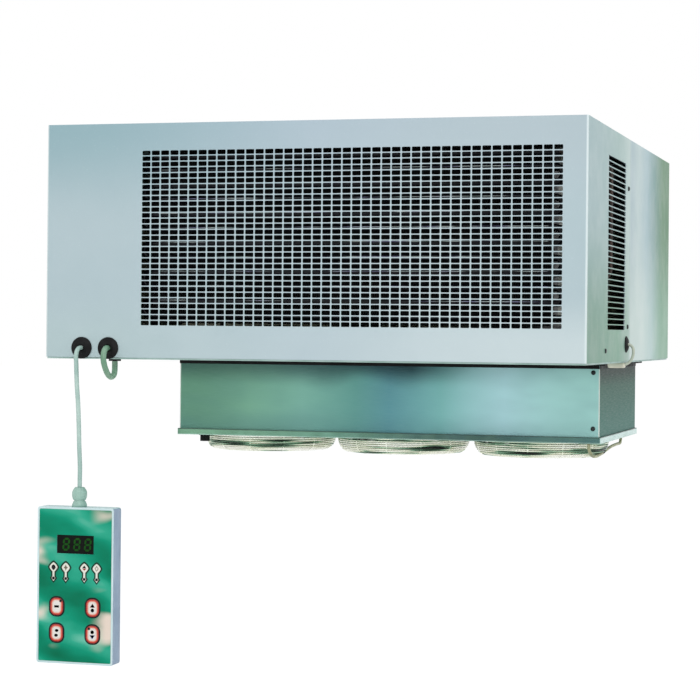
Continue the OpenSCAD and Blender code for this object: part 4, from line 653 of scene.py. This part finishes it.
def ring_plate(name, inner, outer, y_front, thick, mat):
    """A thin flat ring on the keypad, between two outlines of the same number of points."""
    k = len(inner)
    verts = [(KEYPAD_X + u, y, KEYPAD_Z - d) for y in (y_front, y_front + thick) for u, d in (*inner, *outer)]
    faces = []
    for i in range(k):
        j = (i + 1) % k
        faces += [(i, j, k + j, k + i), (2 * k + i, 3 * k + i, 3 * k + j, 2 * k + j),
                  (i, 2 * k + i, 2 * k + j, j), (k + i, k + j, 3 * k + j, 3 * k + i)]
    obj = new_object(name, verts, faces, mat)
    fix_normals(obj)
    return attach(obj, "housing")


def fix_normals(obj):
    bm = bmesh.new()
    bm.from_mesh(obj.data)
    bmesh.ops.recalc_face_normals(bm, faces=bm.faces)
    bm.to_mesh(obj.data)
    bm.free()


def dressed(node, name, mat, width):
    """A copy of a CAD node with its sharp edges rounded, which stands for the node."""
    mesh = nodes[node].data.copy()
    mesh.name = name
    mesh.materials.clear()
    mesh.materials.append(MATS[mat])
    bm = bmesh.new()
    bm.from_mesh(mesh)
    bmesh.ops.remove_doubles(bm, verts=bm.verts, dist=0.00001)
    bmesh.ops.dissolve_limit(bm, angle_limit=math.radians(2), verts=bm.verts, edges=bm.edges)
    sharp = [e for e in bm.edges if len(e.link_faces) == 2 and e.calc_face_angle(0) > math.radians(40)]
    bmesh.ops.bevel(bm, geom=sharp, offset=width * MM, segments=2, profile=0.5, affect="EDGES",
                    clamp_overlap=True)
    for f in bm.faces:
        f.smooth = True
        f.material_index = 0
    for e in bm.edges:
        if len(e.link_faces) == 2 and e.calc_face_angle(0) > math.radians(35):
            e.smooth = False
    bm.to_mesh(mesh)
    bm.free()
    obj = linked(name, mesh)
    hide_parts(node)
    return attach(obj, "housing")


# ---------------------------------------------------------------- cords

def route_curve(name, points, diameter, mat):
    curve = bpy.data.curves.new(name, "CURVE")
    curve.dimensions = "3D"
    spline = curve.splines.new("POLY")
    spline.points.add(len(points) - 1)
    for p, q in zip(spline.points, points):
        p.co = (*(c * MM for c in q), 1)
    spline.use_smooth = True
    curve.bevel_depth = diameter / 2 * MM
    curve.bevel_resolution = 5
    curve.use_fill_caps = True
    curve.materials.append(MATS[mat])
    obj = linked(name, curve)
    return obj


def smooth_route(points, steps=4):
    """Catmull-Rom points along a route, ends kept."""
    p = [Vector(q) for q in points]
    ends = [p[0] * 2 - p[1]] + p + [p[-1] * 2 - p[-2]]
    out = []
    for i in range(1, len(ends) - 2):
        a, b, c, d = ends[i - 1:i + 3]
        for k in range(steps):
            t = k / steps
            bow, twist = 2 * a - 5 * b + 4 * c - d, 3 * b - a - 3 * c + d
            out.append(0.5 * ((2 * b) + (c - a) * t + bow * t * t + twist * t ** 3))
    out.append(p[-1])
    return [tuple(v) for v in out]


def length_of(points):
    return sum((Vector(b) - Vector(a)).length for a, b in zip(points, points[1:])) * MM


def stepped(start, way):
    return [start] + [tuple(a + b for a, b in zip(start, step)) for step in way]


# Each cord's start and its way from there, as in the CAD part
KEYPAD_CORD = stepped((-347, -591, 22.2), [
    (0, -1, 0), (0, -6, 0), (0, -11, -1), (0, -16, -4), (0, -19, -9), (0, -20, -14), (1, -21, -22),
    (2, -22, -37), (3, -22, -57), (5, -22, -82), (6, -21, -112), (7, -21, -142), (8, -20, -172),
    (8, -20, -192), (8, -20, -203.2)])
SUPPLY = stepped((-305, -591, 22.2), [
    (0, -1, 0), (0, -6, 0), (1, -12, -1), (2, -18, -4), (3, -23, -9), (4, -26, -16), (5, -25, -24),
    (6, -21, -32), (6, -14, -38), (6, -5, -42), (5, 4, -42), (4, 13, -39), (2, 20, -33.5),
    (0.5, 24, -27.5), (0, 25, -22.5), (0, 25, -19.5)])
SIDE_LEAD = stepped((405, -250, 34), [
    (1, 0, 0), (4, 0, 0), (8, 0, -1.5), (11, 0, -5), (12, 0, -10), (11.5, 0, -16), (9.5, 0, -22),
    (6, 0, -27), (1, 0, -30.2), (-4, 0, -31), (-7, 0, -31)])
PROBE_LEAD = stepped((331, -150, -123.5), [
    (0, 0, -2.3), (0, 0, -5), (0, 1, -9.5), (1, 5, -15.5), (2, 14, -20.5), (3, 30, -23.8),
    (4, 50, -24.5), (5, 70, -23.5), (7, 110, -19.5), (9, 160, -14.5), (11, 205, -12.6),
    (12, 230, -12.3), (12, 237, -11.3), (12, 241.5, -8), (12, 244, -4), (12, 244, -2.3)])

for name, node, points, dia, mat in (
    ("keypad_cord_jacket", "keypad_cord", KEYPAD_CORD, 6.5, "cord_jacket"),
    ("supply_cable_jacket", "supply_cable", SUPPLY, 8.5, "supply_jacket"),
    ("side_lead_jacket", "side_lead", SIDE_LEAD, 4.5, "lead_jacket"),
    ("probe_lead_jacket", "probe_lead", PROBE_LEAD, 5.0, "probe_jacket"),
):
    path = smooth_route(points)
    obj = route_curve(name, path, dia, mat)
    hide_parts(node)
    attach(obj, "housing")
    tuple(c * MM for c in points[0])
    round(length_of(path), 3)


# ---------------------------------------------------------------- housing

def punched_cover():
    b = Builder()
    x, hole_r, slot_r, steps = HOUSING_W / 2, 1.5, 1.6, 3
    grille = (GRILLE_X, GRILLE_Z, COLUMNS, ROWS, PITCH_X, PITCH_Z, HOLE_W, HOLE_H, hole_r, steps)
    upright = (COVER_Z, LID_Z, COVER_T)
    punched_panel(b, lambda u, v, d: (u, FRONT_Y + d, v), BEND_R - x, x - BEND_R, *upright, grille)
    slots = (SLOT_Y, GRILLE_Z, 1, ROWS, SLOT_L + 4, PITCH_Z, SLOT_L, HOLE_H, slot_r, steps)
    punched_panel(b, lambda u, v, d: (x - d, u, v), FRONT_Y + BEND_R, SEAM_Y, *upright, slots)
    mirrored = (-(SLOT_Y + SLOT_L), *slots[1:])
    punched_panel(b, lambda u, v, d: (d - x, -u, v), -SEAM_Y, -(FRONT_Y + BEND_R), *upright, mirrored)
    bend(b, x - BEND_R, FRONT_Y + BEND_R, BEND_R, COVER_T, -90, 0, COVER_Z, LID_Z)
    bend(b, BEND_R - x, FRONT_Y + BEND_R, BEND_R, COVER_T, 180, 270, COVER_Z, LID_Z)
    rim = 18
    b.box((-x + COVER_T, FRONT_Y + COVER_T, LID_Z - COVER_T), (x - COVER_T, FRONT_Y + rim, LID_Z))
    for side in (-1, 1):
        a, c = sorted((side * (x - COVER_T), side * (x - rim)))
        b.box((a, FRONT_Y + rim, LID_Z - COVER_T), (c, SEAM_Y, LID_Z))
    obj = b.object("punched_front_cover", "painted_sheet")
    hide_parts("front_cover", "grille_screen")
    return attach(obj, "housing")


punched_cover()


def fin_pack(name, node, x0, x1, y0, y1, z0, z1, pitch, mat):
    """Thin sheet fins with a small wave along their depth."""
    b = Builder()
    count = int((x1 - x0) / pitch)
    t, steps, wave = 0.2, 4, 0.35
    for i in range(count + 1):
        x = x0 + (x1 - x0 - t) * i / count
        verts, faces = [], []
        for k in range(steps + 1):
            y = y0 + (y1 - y0) * k / steps
            shift = (wave if k % 2 else -wave) if 0 < k < steps else 0
            for z in (z0, z1):
                verts += [(x + shift, y, z), (x + shift + t, y, z)]
        for k in range(steps):
            p, q = 4 * k, 4 * k + 4
            faces += [(p, p + 2, q + 2, q), (p + 1, q + 1, q + 3, p + 3), (p, q, q + 1, p + 1),
                      (p + 2, p + 3, q + 3, q + 2)]
        faces += [(0, 1, 3, 2), (4 * steps, 4 * steps + 2, 4 * steps + 3, 4 * steps + 1)]
        b.add(verts, faces)
    obj = b.object(name, mat)
    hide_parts(node)
    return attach(obj, "housing")


fin_pack("condenser_fin_pack", "condenser_fins", -247, 351, -566.5, -529.4, 59.9, 314.3, 3.2, "dark_fins")
fin_pack("evaporator_fin_pack", "evaporator_fins", -270, 270, 48.4, 107.6, -98, 187, 4.2, "fins")


def turned(cx, cy, cz, profile, n):
    """Points of a profile of radii and heights, turned about an upright axis in n steps."""
    return [(cx + r * math.cos(2 * math.pi * i / n), cy + r * math.sin(2 * math.pi * i / n), cz + z)
            for r, z in profile for i in range(n)]


def swept(b, path, r, n=8, closed=False):
    """A round wire along a path of points."""
    pts = [Vector(p) for p in path]
    count = len(pts)
    verts = []
    for i, p in enumerate(pts):
        after = pts[(i + 1) % count] if closed or i + 1 < count else p
        before = pts[i - 1] if closed or i else p
        ahead = (after - before).normalized()
        side = ahead.cross(Vector((0, 0, 1)))
        side = side.normalized() if side.length > 0.001 else Vector((1, 0, 0))
        up = side.cross(ahead)
        for k in range(n):
            a = 2 * math.pi * k / n
            verts.append(p + r * (math.cos(a) * side + math.sin(a) * up))
    faces = []
    for i in range(count if closed else count - 1):
        a, c = i * n, (i + 1) % count * n
        faces += [(a + k, a + (k + 1) % n, c + (k + 1) % n, c + k) for k in range(n)]
    if not closed:
        faces += [tuple(reversed(range(n))), tuple(range((count - 1) * n, count * n))]
    b.add(verts, faces, smooth=True)


def wire_guards():
    """Three welded wire guards: a heavy rim, close rings up the wall and over the face, and radial wires."""
    b = Builder()
    wall = [(109.6, -5.4), (109.2, -8.7), (108.4, -12.0), (107.2, -15.3), (105.4, -18.5), (102.6, -21.4),
            (98.6, -23.8), (93.4, -25.4)]
    rings = [(GUARD_R, -1.7, 1.7)] + [(r, z, 1.55) for r, z in wall]
    rings += [(r, -25.6, 1.2) for r in (87, 79.5, 72, 64.5, 57, 49.5, 42, 34.5)]
    way = [(24, -26.6), (90, -26.6), (97, -25.6), (102, -23.6), (105.4, -20.8), (107.4, -17), (108.6, -12),
           (109.6, -6), (GUARD_R, -1.7)]
    crown = [(0.01, -26.2), (GUARD_DISC_R, -26.2), (GUARD_DISC_R, -27.2), (GUARD_DISC_R - 1, -28),
             (12, -28.4), (0.01, -28.5)]
    for cx in (-FAN_PITCH, 0, FAN_PITCH):
        for r, z, wire in rings:
            swept(b, turned(cx, GUARD_Y, TRAY_Z, [(r, z)], 72), wire, closed=True)
        for k in range(12):
            a = 2 * math.pi * k / 12
            swept(b, [(cx + r * math.cos(a), GUARD_Y + r * math.sin(a), TRAY_Z + z) for r, z in way], 1.1)
        b.add(turned(cx, GUARD_Y, TRAY_Z, crown, 48), band(48, len(crown)), smooth=True)
    obj = b.object("wire_guards", "wire")
    fix_normals(obj)
    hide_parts("fan_guards")
    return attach(obj, "housing")


wire_guards()


def top_gasket():
    """A thin black seal strip round the top of the evaporator box; its dark band also stands for painted
    shade in the gap under the housing.
    """
    b = Builder()
    z0, z1, out, ease, n = -5.6, -0.2, 0.7, 0.5, 6
    rows = []
    for grow, z in ((0.0, z0), (out, z0 + ease), (out, z1 - ease), (0.0, z1)):
        loop = rounded_loop(0, 0, 2 * (BOX_W / 2 + grow), 2 * (BOX_D / 2 + grow), 2 + grow, n)
        rows += [(x, y, z) for x, y in loop]
    k = 4 * (n + 1)
    last = 3 * k
    b.add(rows, band(k, 4) + [(last + i, last + (i + 1) % k, (i + 1) % k, i) for i in range(k)])
    obj = b.object("box_top_gasket", "gasket")
    fix_normals(obj)
    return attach(obj, "housing")


top_gasket()


def rounded_block(name, cx, cy, w, d, z0, z1, r, mat):
    """A block with an upright rounded plan and eased top and bottom edges."""
    b = Builder()
    n = 5
    ease = min(r, (z1 - z0) / 2) * 0.8
    quarter = (0, math.pi / 6, math.pi / 3, math.pi / 2)
    rows = [(ease * (1 - math.sin(a)), z0 + ease * (1 - math.cos(a))) for a in quarter]
    rows += [(inset, z0 + z1 - z) for inset, z in reversed(rows)]
    verts = []
    for inset, z in rows:
        loop = rounded_loop(cx, cy, w - 2 * inset, d - 2 * inset, max(r - inset, 0.1), n)
        verts += [(x, y, z) for x, y in loop]
    k = 4 * (n + 1)
    ends = [tuple(reversed(range(k))), tuple(range(len(verts) - k, len(verts)))]
    b.add(verts, band(k, len(rows)) + ends, smooth=True)
    obj = b.object(name, mat)
    fix_normals(obj)
    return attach(obj, "housing")


# A bright bar on the box's folded front corner: the fold is real, its brightness a painted highlight.
rounded_block("box_corner_fold", 352.9, -183.4, 1.8, 1.8, -113.2, -6.0, 0.7, "panel_edge_highlight")
rounded_block("side_lead_clip", 391, -249, 26, 17, -2.4, 5.9, 3.4, "clip_plastic")


# ---------------------------------------------------------------- keypad

dressed("keypad_back_shell", "keypad_rear_case", "white_plastic", 0.8)
dressed("keypad_front_shell", "keypad_front_case", "white_plastic", 0.7)


def gland():
    """A twelve-sided domed nut over a waisted neck, round the cord where it enters the case."""
    b = Builder()
    nut = [(3.3, -181.2), (6.6, -181.2), (7.4, -182.0), (9.6, -185.2), (10.9, -188.2), (11, -194.0),
           (10.2, -197.6), (9.2, -199.6), (8.0, -200.0)]
    neck = [(8.0, -200.0), (8.0, -201.6), (9.4, -202.4), (9.8, -204.5), (10.8, -206.0), (10.9, -209.9),
            (4.0, -209.95)]
    for profile, n, round_ in ((nut, 12, False), (neck, 36, True)):
        b.add(turned(KEYPAD_X, GLAND_Y, 0, profile, n), band(n, len(profile)), smooth=round_)
    obj = b.object("keypad_cord_gland", "gland_plastic")
    fix_normals(obj)
    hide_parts("keypad_gland")
    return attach(obj, "housing")


gland()


def circle(cx, cd, r, n):
    turns = [math.radians(360.0 * i / n) for i in range(n)]
    return [(cx + r * math.cos(a), cd + r * math.sin(a)) for a in turns]


def sign_outline(cx, grow):
    """A rounded kite over a narrow stalk that widens round a lamp, as half-widths down the keypad."""
    kite_w, kite_h, bulge = 6.3 + grow, 7.0 + grow, 1.35
    ring_w, ring_h, stalk_w = 3.1 + grow, 4.4 + grow, 1.5 + grow * 0.8
    top, foot = SIGN_DOWN - kite_h, LAMP_DOWN + ring_h
    half = []
    for i in range(41):
        d = top + (foot - top) * (1 - math.cos(math.pi * i / 40)) / 2
        along = min(abs(d - SIGN_DOWN) / kite_h, 1.0)
        kite = kite_w * (1 - along ** bulge) ** (1 / bulge)
        stalk = stalk_w if SIGN_DOWN < d < LAMP_DOWN else 0.0
        ring = max(ring_w - abs(d - LAMP_DOWN) * ring_w / ring_h, 0.0)
        half.append((d, max(kite, stalk, ring)))
    return [(cx + w, d) for d, w in half] + [(cx - w, d) for d, w in reversed(half[1:-1])]


def display():
    """Dark display window with three dim digits behind its face."""
    b = Builder()
    glass_w, glass_h, down, sunk, depth = 57.4, 26.4, 54, 0.45, 6
    x, z = KEYPAD_X, KEYPAD_Z - down
    b.box((x - glass_w / 2, KEYPAD_Y + sunk, z - glass_h / 2),
          (x + glass_w / 2, KEYPAD_Y + depth, z + glass_h / 2))
    obj = b.object("display_window", "display_glass")
    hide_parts("keypad_display")
    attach(obj, "housing")
    seg = Builder()
    t, gap, lean, ys = 3.0, 0.45, 0.10, (0.38, 0.5)

    def bar(x0, z0, x1, z1):
        """One bar with pointed ends, lying or upright."""
        h = t / 2
        if abs(x1 - x0) > abs(z1 - z0):
            x0, x1 = x0 + gap, x1 - gap
            pts = [(x0, z0), (x0 + h, z0 + h), (x1 - h, z0 + h), (x1, z0), (x1 - h, z0 - h), (x0 + h, z0 - h)]
        else:
            z0, z1 = z0 + gap, z1 - gap
            pts = [(x0, z0), (x0 - h, z0 + h), (x0 - h, z1 - h), (x0, z1), (x0 + h, z1 - h), (x0 + h, z0 + h)]
        k = len(pts)
        verts = [(px + lean * (pz - z), KEYPAD_Y + yy, pz) for yy in ys for px, pz in pts]
        faces = [tuple(range(k)), tuple(range(2 * k - 1, k - 1, -1))]
        faces += [(i, (i + 1) % k, k + (i + 1) % k, k + i) for i in range(k)]
        seg.add(verts, faces)

    hw, hh = 4.1, 8.0
    for offset in (-14.5, 2.5, 19.5):
        cx = x + offset
        for zz in (-hh, 0, hh):
            bar(cx - hw, z + zz, cx + hw, z + zz)
        for xx in (-hw, hw):
            bar(cx + xx, z - hh, cx + xx, z)
            bar(cx + xx, z, cx + xx, z + hh)
    digits = seg.object("display_digits", "segment_glow")
    fix_normals(digits)
    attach(digits, "housing")


display()

FACE = KEYPAD_Y
SIGN_XS, SIGN_DOWN, LAMP_DOWN = (-34, -14.6, 14.6, 34), 88, 104
for i, u in enumerate(SIGN_XS):
    tag = str(i + 1)
    plate("status_sign_edge_" + tag, sign_outline(u, 2.8), FACE - 0.04, 0.06, "ink_green")
    plate("status_sign_" + tag, sign_outline(u, 0.0), FACE - 0.08, 0.06, "ink_white")
    plate("status_lamp_" + tag, circle(u, LAMP_DOWN, 2.2, 20), FACE - 0.14, 0.3, "ink_black")

# The signs' marks: name, sign, how far it stands out, ink and outline round the sign's middle
DIAMOND = [(0, -4.2), (3.2, 0), (0, 4.2), (-3.2, 0)]
SIGN_MARKS = (
    ("sign_mark_1", 0, 0.12, "ink_black",
     [(0, -4), (2.6, -2.2), (3.4, 0.4), (1.8, 3.2), (0, 4.4), (-1.8, 3.2), (-3.4, 0.4), (-2.6, -2.2)]),
    ("sign_mark_2", 1, 0.12, "ink_grey",
     [(0, -4.6), (1.2, -1.4), (3.6, 0), (1.2, 1.4), (0, 4.6), (-1.2, 1.4), (-3.6, 0), (-1.2, -1.4)]),
    ("sign_mark_3", 2, 0.12, "ink_black", [(0, -4.2), (3.2, 0), (-3.2, 0)]),
    ("sign_mark_3b", 2, 0.12, "ink_red", [(3.0, 0.5), (0, 3.6), (-3.0, 0.5)]),
    ("sign_mark_4", 3, 0.12, "ink_grey", DIAMOND),
    ("sign_mark_4b", 3, 0.15, "ink_white", [(u * 0.6, d * 0.6) for u, d in DIAMOND]),
)
MARK_T = 0.05
for name, sign, lift, ink, points in SIGN_MARKS:
    plate(name, [(u + SIGN_XS[sign], d + SIGN_DOWN) for u, d in points], FACE - lift, MARK_T, ink)


def key_cap(node, name, u, down):
    """A crowned key top with a fine rolled edge, on its plunger."""
    crown = [(0.0, 1.2), (0.0, 0.35), (0.12, 0.12), (0.4, 0.0), (1.0, -0.06), (3.0, -0.12), (6.0, -0.17),
             (8.6, -0.19)]
    proud, skirt, flange, n = 0.6, 4.2, 1.2, 8
    k = 4 * (n + 1)
    base = len(crown) * k
    top, foot = base - k, base + 2 * k
    verts, faces = [], []

    def row(inset, y):
        loop = rounded_loop(u, down, KEY_W - 2 * inset, KEY_H - 2 * inset, max(KEY_R - inset, 0.6), n)
        verts.extend((KEYPAD_X + a, y, KEYPAD_Z - d) for a, d in loop)

    def walls(*rows):
        for i in range(k):
            j = (i + 1) % k
            faces.extend((a + i, a + j, c + j, c + i) for a, c in rows)

    for inset, y in crown:
        row(inset, KEYPAD_Y - proud + y)
    for y in (proud, skirt):
        row(0, KEYPAD_Y + y - 0.001)
    for y in (skirt - 1, skirt):
        row(-flange, KEYPAD_Y + y)
    for s in range(len(crown) - 1):
        for i in range(k):
            j = (i + 1) % k
            faces.append((s * k + i, (s + 1) * k + i, (s + 1) * k + j, s * k + j))
    faces.append(tuple(range(top, base)))
    walls((0, base), (base, base + k))
    walls((foot, foot + k))
    faces += [tuple(range(foot, foot + k)), tuple(range(foot + k, foot + 2 * k))]
    key_face(name + "_face", KEYPAD_X + u, KEYPAD_Z - down)
    obj = new_object(name, verts, faces, name + "_face", range(len(faces)))
    fix_normals(obj)
    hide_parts(node)
    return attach(obj, node)


KEYS = {
    "key_upper_left": (-28.25, 145), "key_upper_right": (28.25, 145),
    "key_lower_left": (-28.25, 183.5), "key_lower_right": (28.25, 183.5)}
for node, (u, down) in KEYS.items():
    key_cap(node, node + "_cap", u, down)
    inner, outer = (rounded_loop(u, down, KEY_W + 2 * grow, KEY_H + 2 * grow, KEY_R + grow, 8)
                    for grow in (0.25, 1.5))
    ring_plate(node + "_outline", inner, outer, FACE - 0.03, 0.06, "ink_black")

# The keys' marks: key, name, ink, place from the key's middle and outline
KEY_TOP = FACE - 0.72
SPOT = circle(0, 0, 2.0, 16)
DROP = circle(0, 0, 2.8, 16)
DOT = [(u * 1.35, d) for u, d in circle(0, 0, 2.2, 16)]
KEY_MARKS = (
    ("key_upper_left", "key_sign_bar", "ink_black", (0, 0),
     [(-3.8, -1.6), (3.8, -1.6), (3.8, 1.7), (-3.8, 1.7)]),
    ("key_upper_right", "key_sign_rise", "ink_red", (0, -1.4), [(-4.2, 0.8), (0, -5.0), (4.2, 0.8)]),
    ("key_upper_right", "key_sign_drop_a", "ink_black", (0, 3.6), DROP),
    ("key_lower_left", "key_sign_dot_a", "ink_black", (0.4, -3.4), DOT),
    ("key_lower_left", "key_sign_dot_b", "ink_black", (-0.4, 3.6), DOT),
    ("key_upper_left", "key_sign_spot_a", "ink_black", (6.2, -8.2), SPOT),
    ("key_lower_right", "key_sign_spot_b", "ink_black", (-5.2, -8.2), SPOT),
    ("key_lower_right", "key_sign_drop_b", "ink_black", (0, -3.4), DROP),
    ("key_lower_right", "key_sign_fall", "ink_blue", (0, 1.8), [(-4.2, -0.8), (4.2, -0.8), (0, 5.0)]),
)
for node, name, ink, (across, below), points in KEY_MARKS:
    u, down = KEYS[node]
    plate(name, [(a + (u + across), d + (down + below)) for a, d in points], KEY_TOP - 0.07, MARK_T, ink,
          node)


# ---------------------------------------------------------------- materials of the CAD nodes

NODE_MATS = {
    "painted_sheet": "rear_cover lid",
    "pan_sheet": "base_pan",
    "galvanised": "fan_shroud condenser_motor_brackets electrical_box electrical_box_lid "
                  "evaporator_end_plates defrost_heater evaporator_motor_brackets",
    "dark_zinc": "cover_screws box_screws",
    "rubber": "cable_grommets compressor_feet drain_spout",
    "gasket": "ceiling_seal",
    "bushing": "lead_bushings",
    "coil_tube": "condenser_tubes",
    "copper": "discharge_pipe liquid_pipes suction_pipe evaporator_tubes",
    "fins": "condenser_fan_left condenser_fan_right "
            "evaporator_fan_left evaporator_fan_middle evaporator_fan_right",
    # The condenser end plates are black as painted shade at the coil's ends behind the grille.
    "black_metal": "condenser_end_plates condenser_motors compressor compressor_terminal_cover "
                   "liquid_receiver filter_drier evaporator_motors",
    "valve_brass": "expansion_valve",
    "white_plastic": "contactor terminal_block",
    "bare_sheet": "evaporator_front_panel evaporator_rear_panel",
    "tray_sheet": "drip_tray",
    "foam": "insulated_cell",
    "overlay_foil": "keypad_overlay",
    "circuit_board": "keypad_board",
}
for mat, names in NODE_MATS.items():
    for name in names.split():
        obj = nodes[name]
        if not obj.material_slots:
            obj.data.materials.append(MATS[mat])
        for slot in obj.material_slots:
            slot.material = MATS[mat]


# ---------------------------------------------------------------- floor, world and lamps

# In metres, below the hanging keypad
FLOOR_Z = -0.62


def split_rays(nt, usual, seen, output):
    """One shader for light on the part, one for rays seen straight, mirrored or through glass."""
    path = nt.nodes.new("ShaderNodeLightPath")
    total = path.outputs["Is Camera Ray"]
    for kind in ("Is Glossy Ray", "Is Transmission Ray"):
        both = nt.nodes.new("ShaderNodeMath")
        both.operation = "MAXIMUM"
        nt.links.new(total, both.inputs[0])
        nt.links.new(path.outputs[kind], both.inputs[1])
        total = both.outputs[0]
    mix = nt.nodes.new("ShaderNodeMixShader")
    for source, socket in zip((total, usual.outputs[0], seen.outputs[0]), mix.inputs):
        nt.links.new(source, socket)
    nt.links.new(mix.outputs[0], nt.nodes.new(output).inputs["Surface"])


def stage_floor():
    mesh = bpy.data.meshes.new("floor")
    far = 30
    mesh.from_pydata([(-far, -far, 0), (far, -far, 0), (far, far, 0), (-far, far, 0)], [], [(0, 1, 2, 3)])
    floor = linked("floor", mesh)
    floor.location.z = FLOOR_Z
    mat = bpy.data.materials.new("floor_white")
    mat.use_nodes = True
    nt = mat.node_tree
    nt.nodes.clear()
    diffuse = nt.nodes.new("ShaderNodeBsdfDiffuse")
    diffuse.inputs["Color"].default_value = (0.82, 0.82, 0.82, 1)
    glow = nt.nodes.new("ShaderNodeEmission")
    glow.inputs["Strength"].default_value = 0.52
    add = nt.nodes.new("ShaderNodeAddShader")
    nt.links.new(diffuse.outputs[0], add.inputs[0])
    nt.links.new(glow.outputs[0], add.inputs[1])
    split_rays(nt, diffuse, add, "ShaderNodeOutputMaterial")
    mesh.materials.append(mat)


def set_world():
    world = bpy.data.worlds.new("world")
    scene.world = world
    world.use_nodes = True
    nt = world.node_tree
    nt.nodes.clear()
    light = nt.nodes.new("ShaderNodeBackground")
    light.inputs["Color"].default_value = (0.97, 0.985, 0.99, 1)
    light.inputs["Strength"].default_value = 0.62
    shown = nt.nodes.new("ShaderNodeBackground")
    shown.inputs["Color"].default_value = (1, 1, 1, 1)
    split_rays(nt, light, shown, "ShaderNodeOutputWorld")


def lamp(name, place, target, size, watts):
    data = bpy.data.lights.new(name, "AREA")
    data.shape = "SQUARE"
    data.size = size
    data.energy = watts
    obj = linked(name, data)
    obj.location = place
    obj.rotation_euler = (Vector(target) - Vector(place)).to_track_quat("-Z", "Y").to_euler()
    obj.visible_camera = False


stage_floor()
set_world()
lamp("key_lamp", (0.9, -3.6, 2.4), (0.1, -0.4, 0.1), 2.2, 54)
lamp("side_lamp", (3.4, -0.6, 0.9), (0.3, -0.1, 0.1), 2.0, 20)
lamp("low_lamp", (-1.2, -3.2, -0.3), (-0.1, -0.3, -0.1), 1.6, 12)
scene.view_settings.view_transform = "Standard"
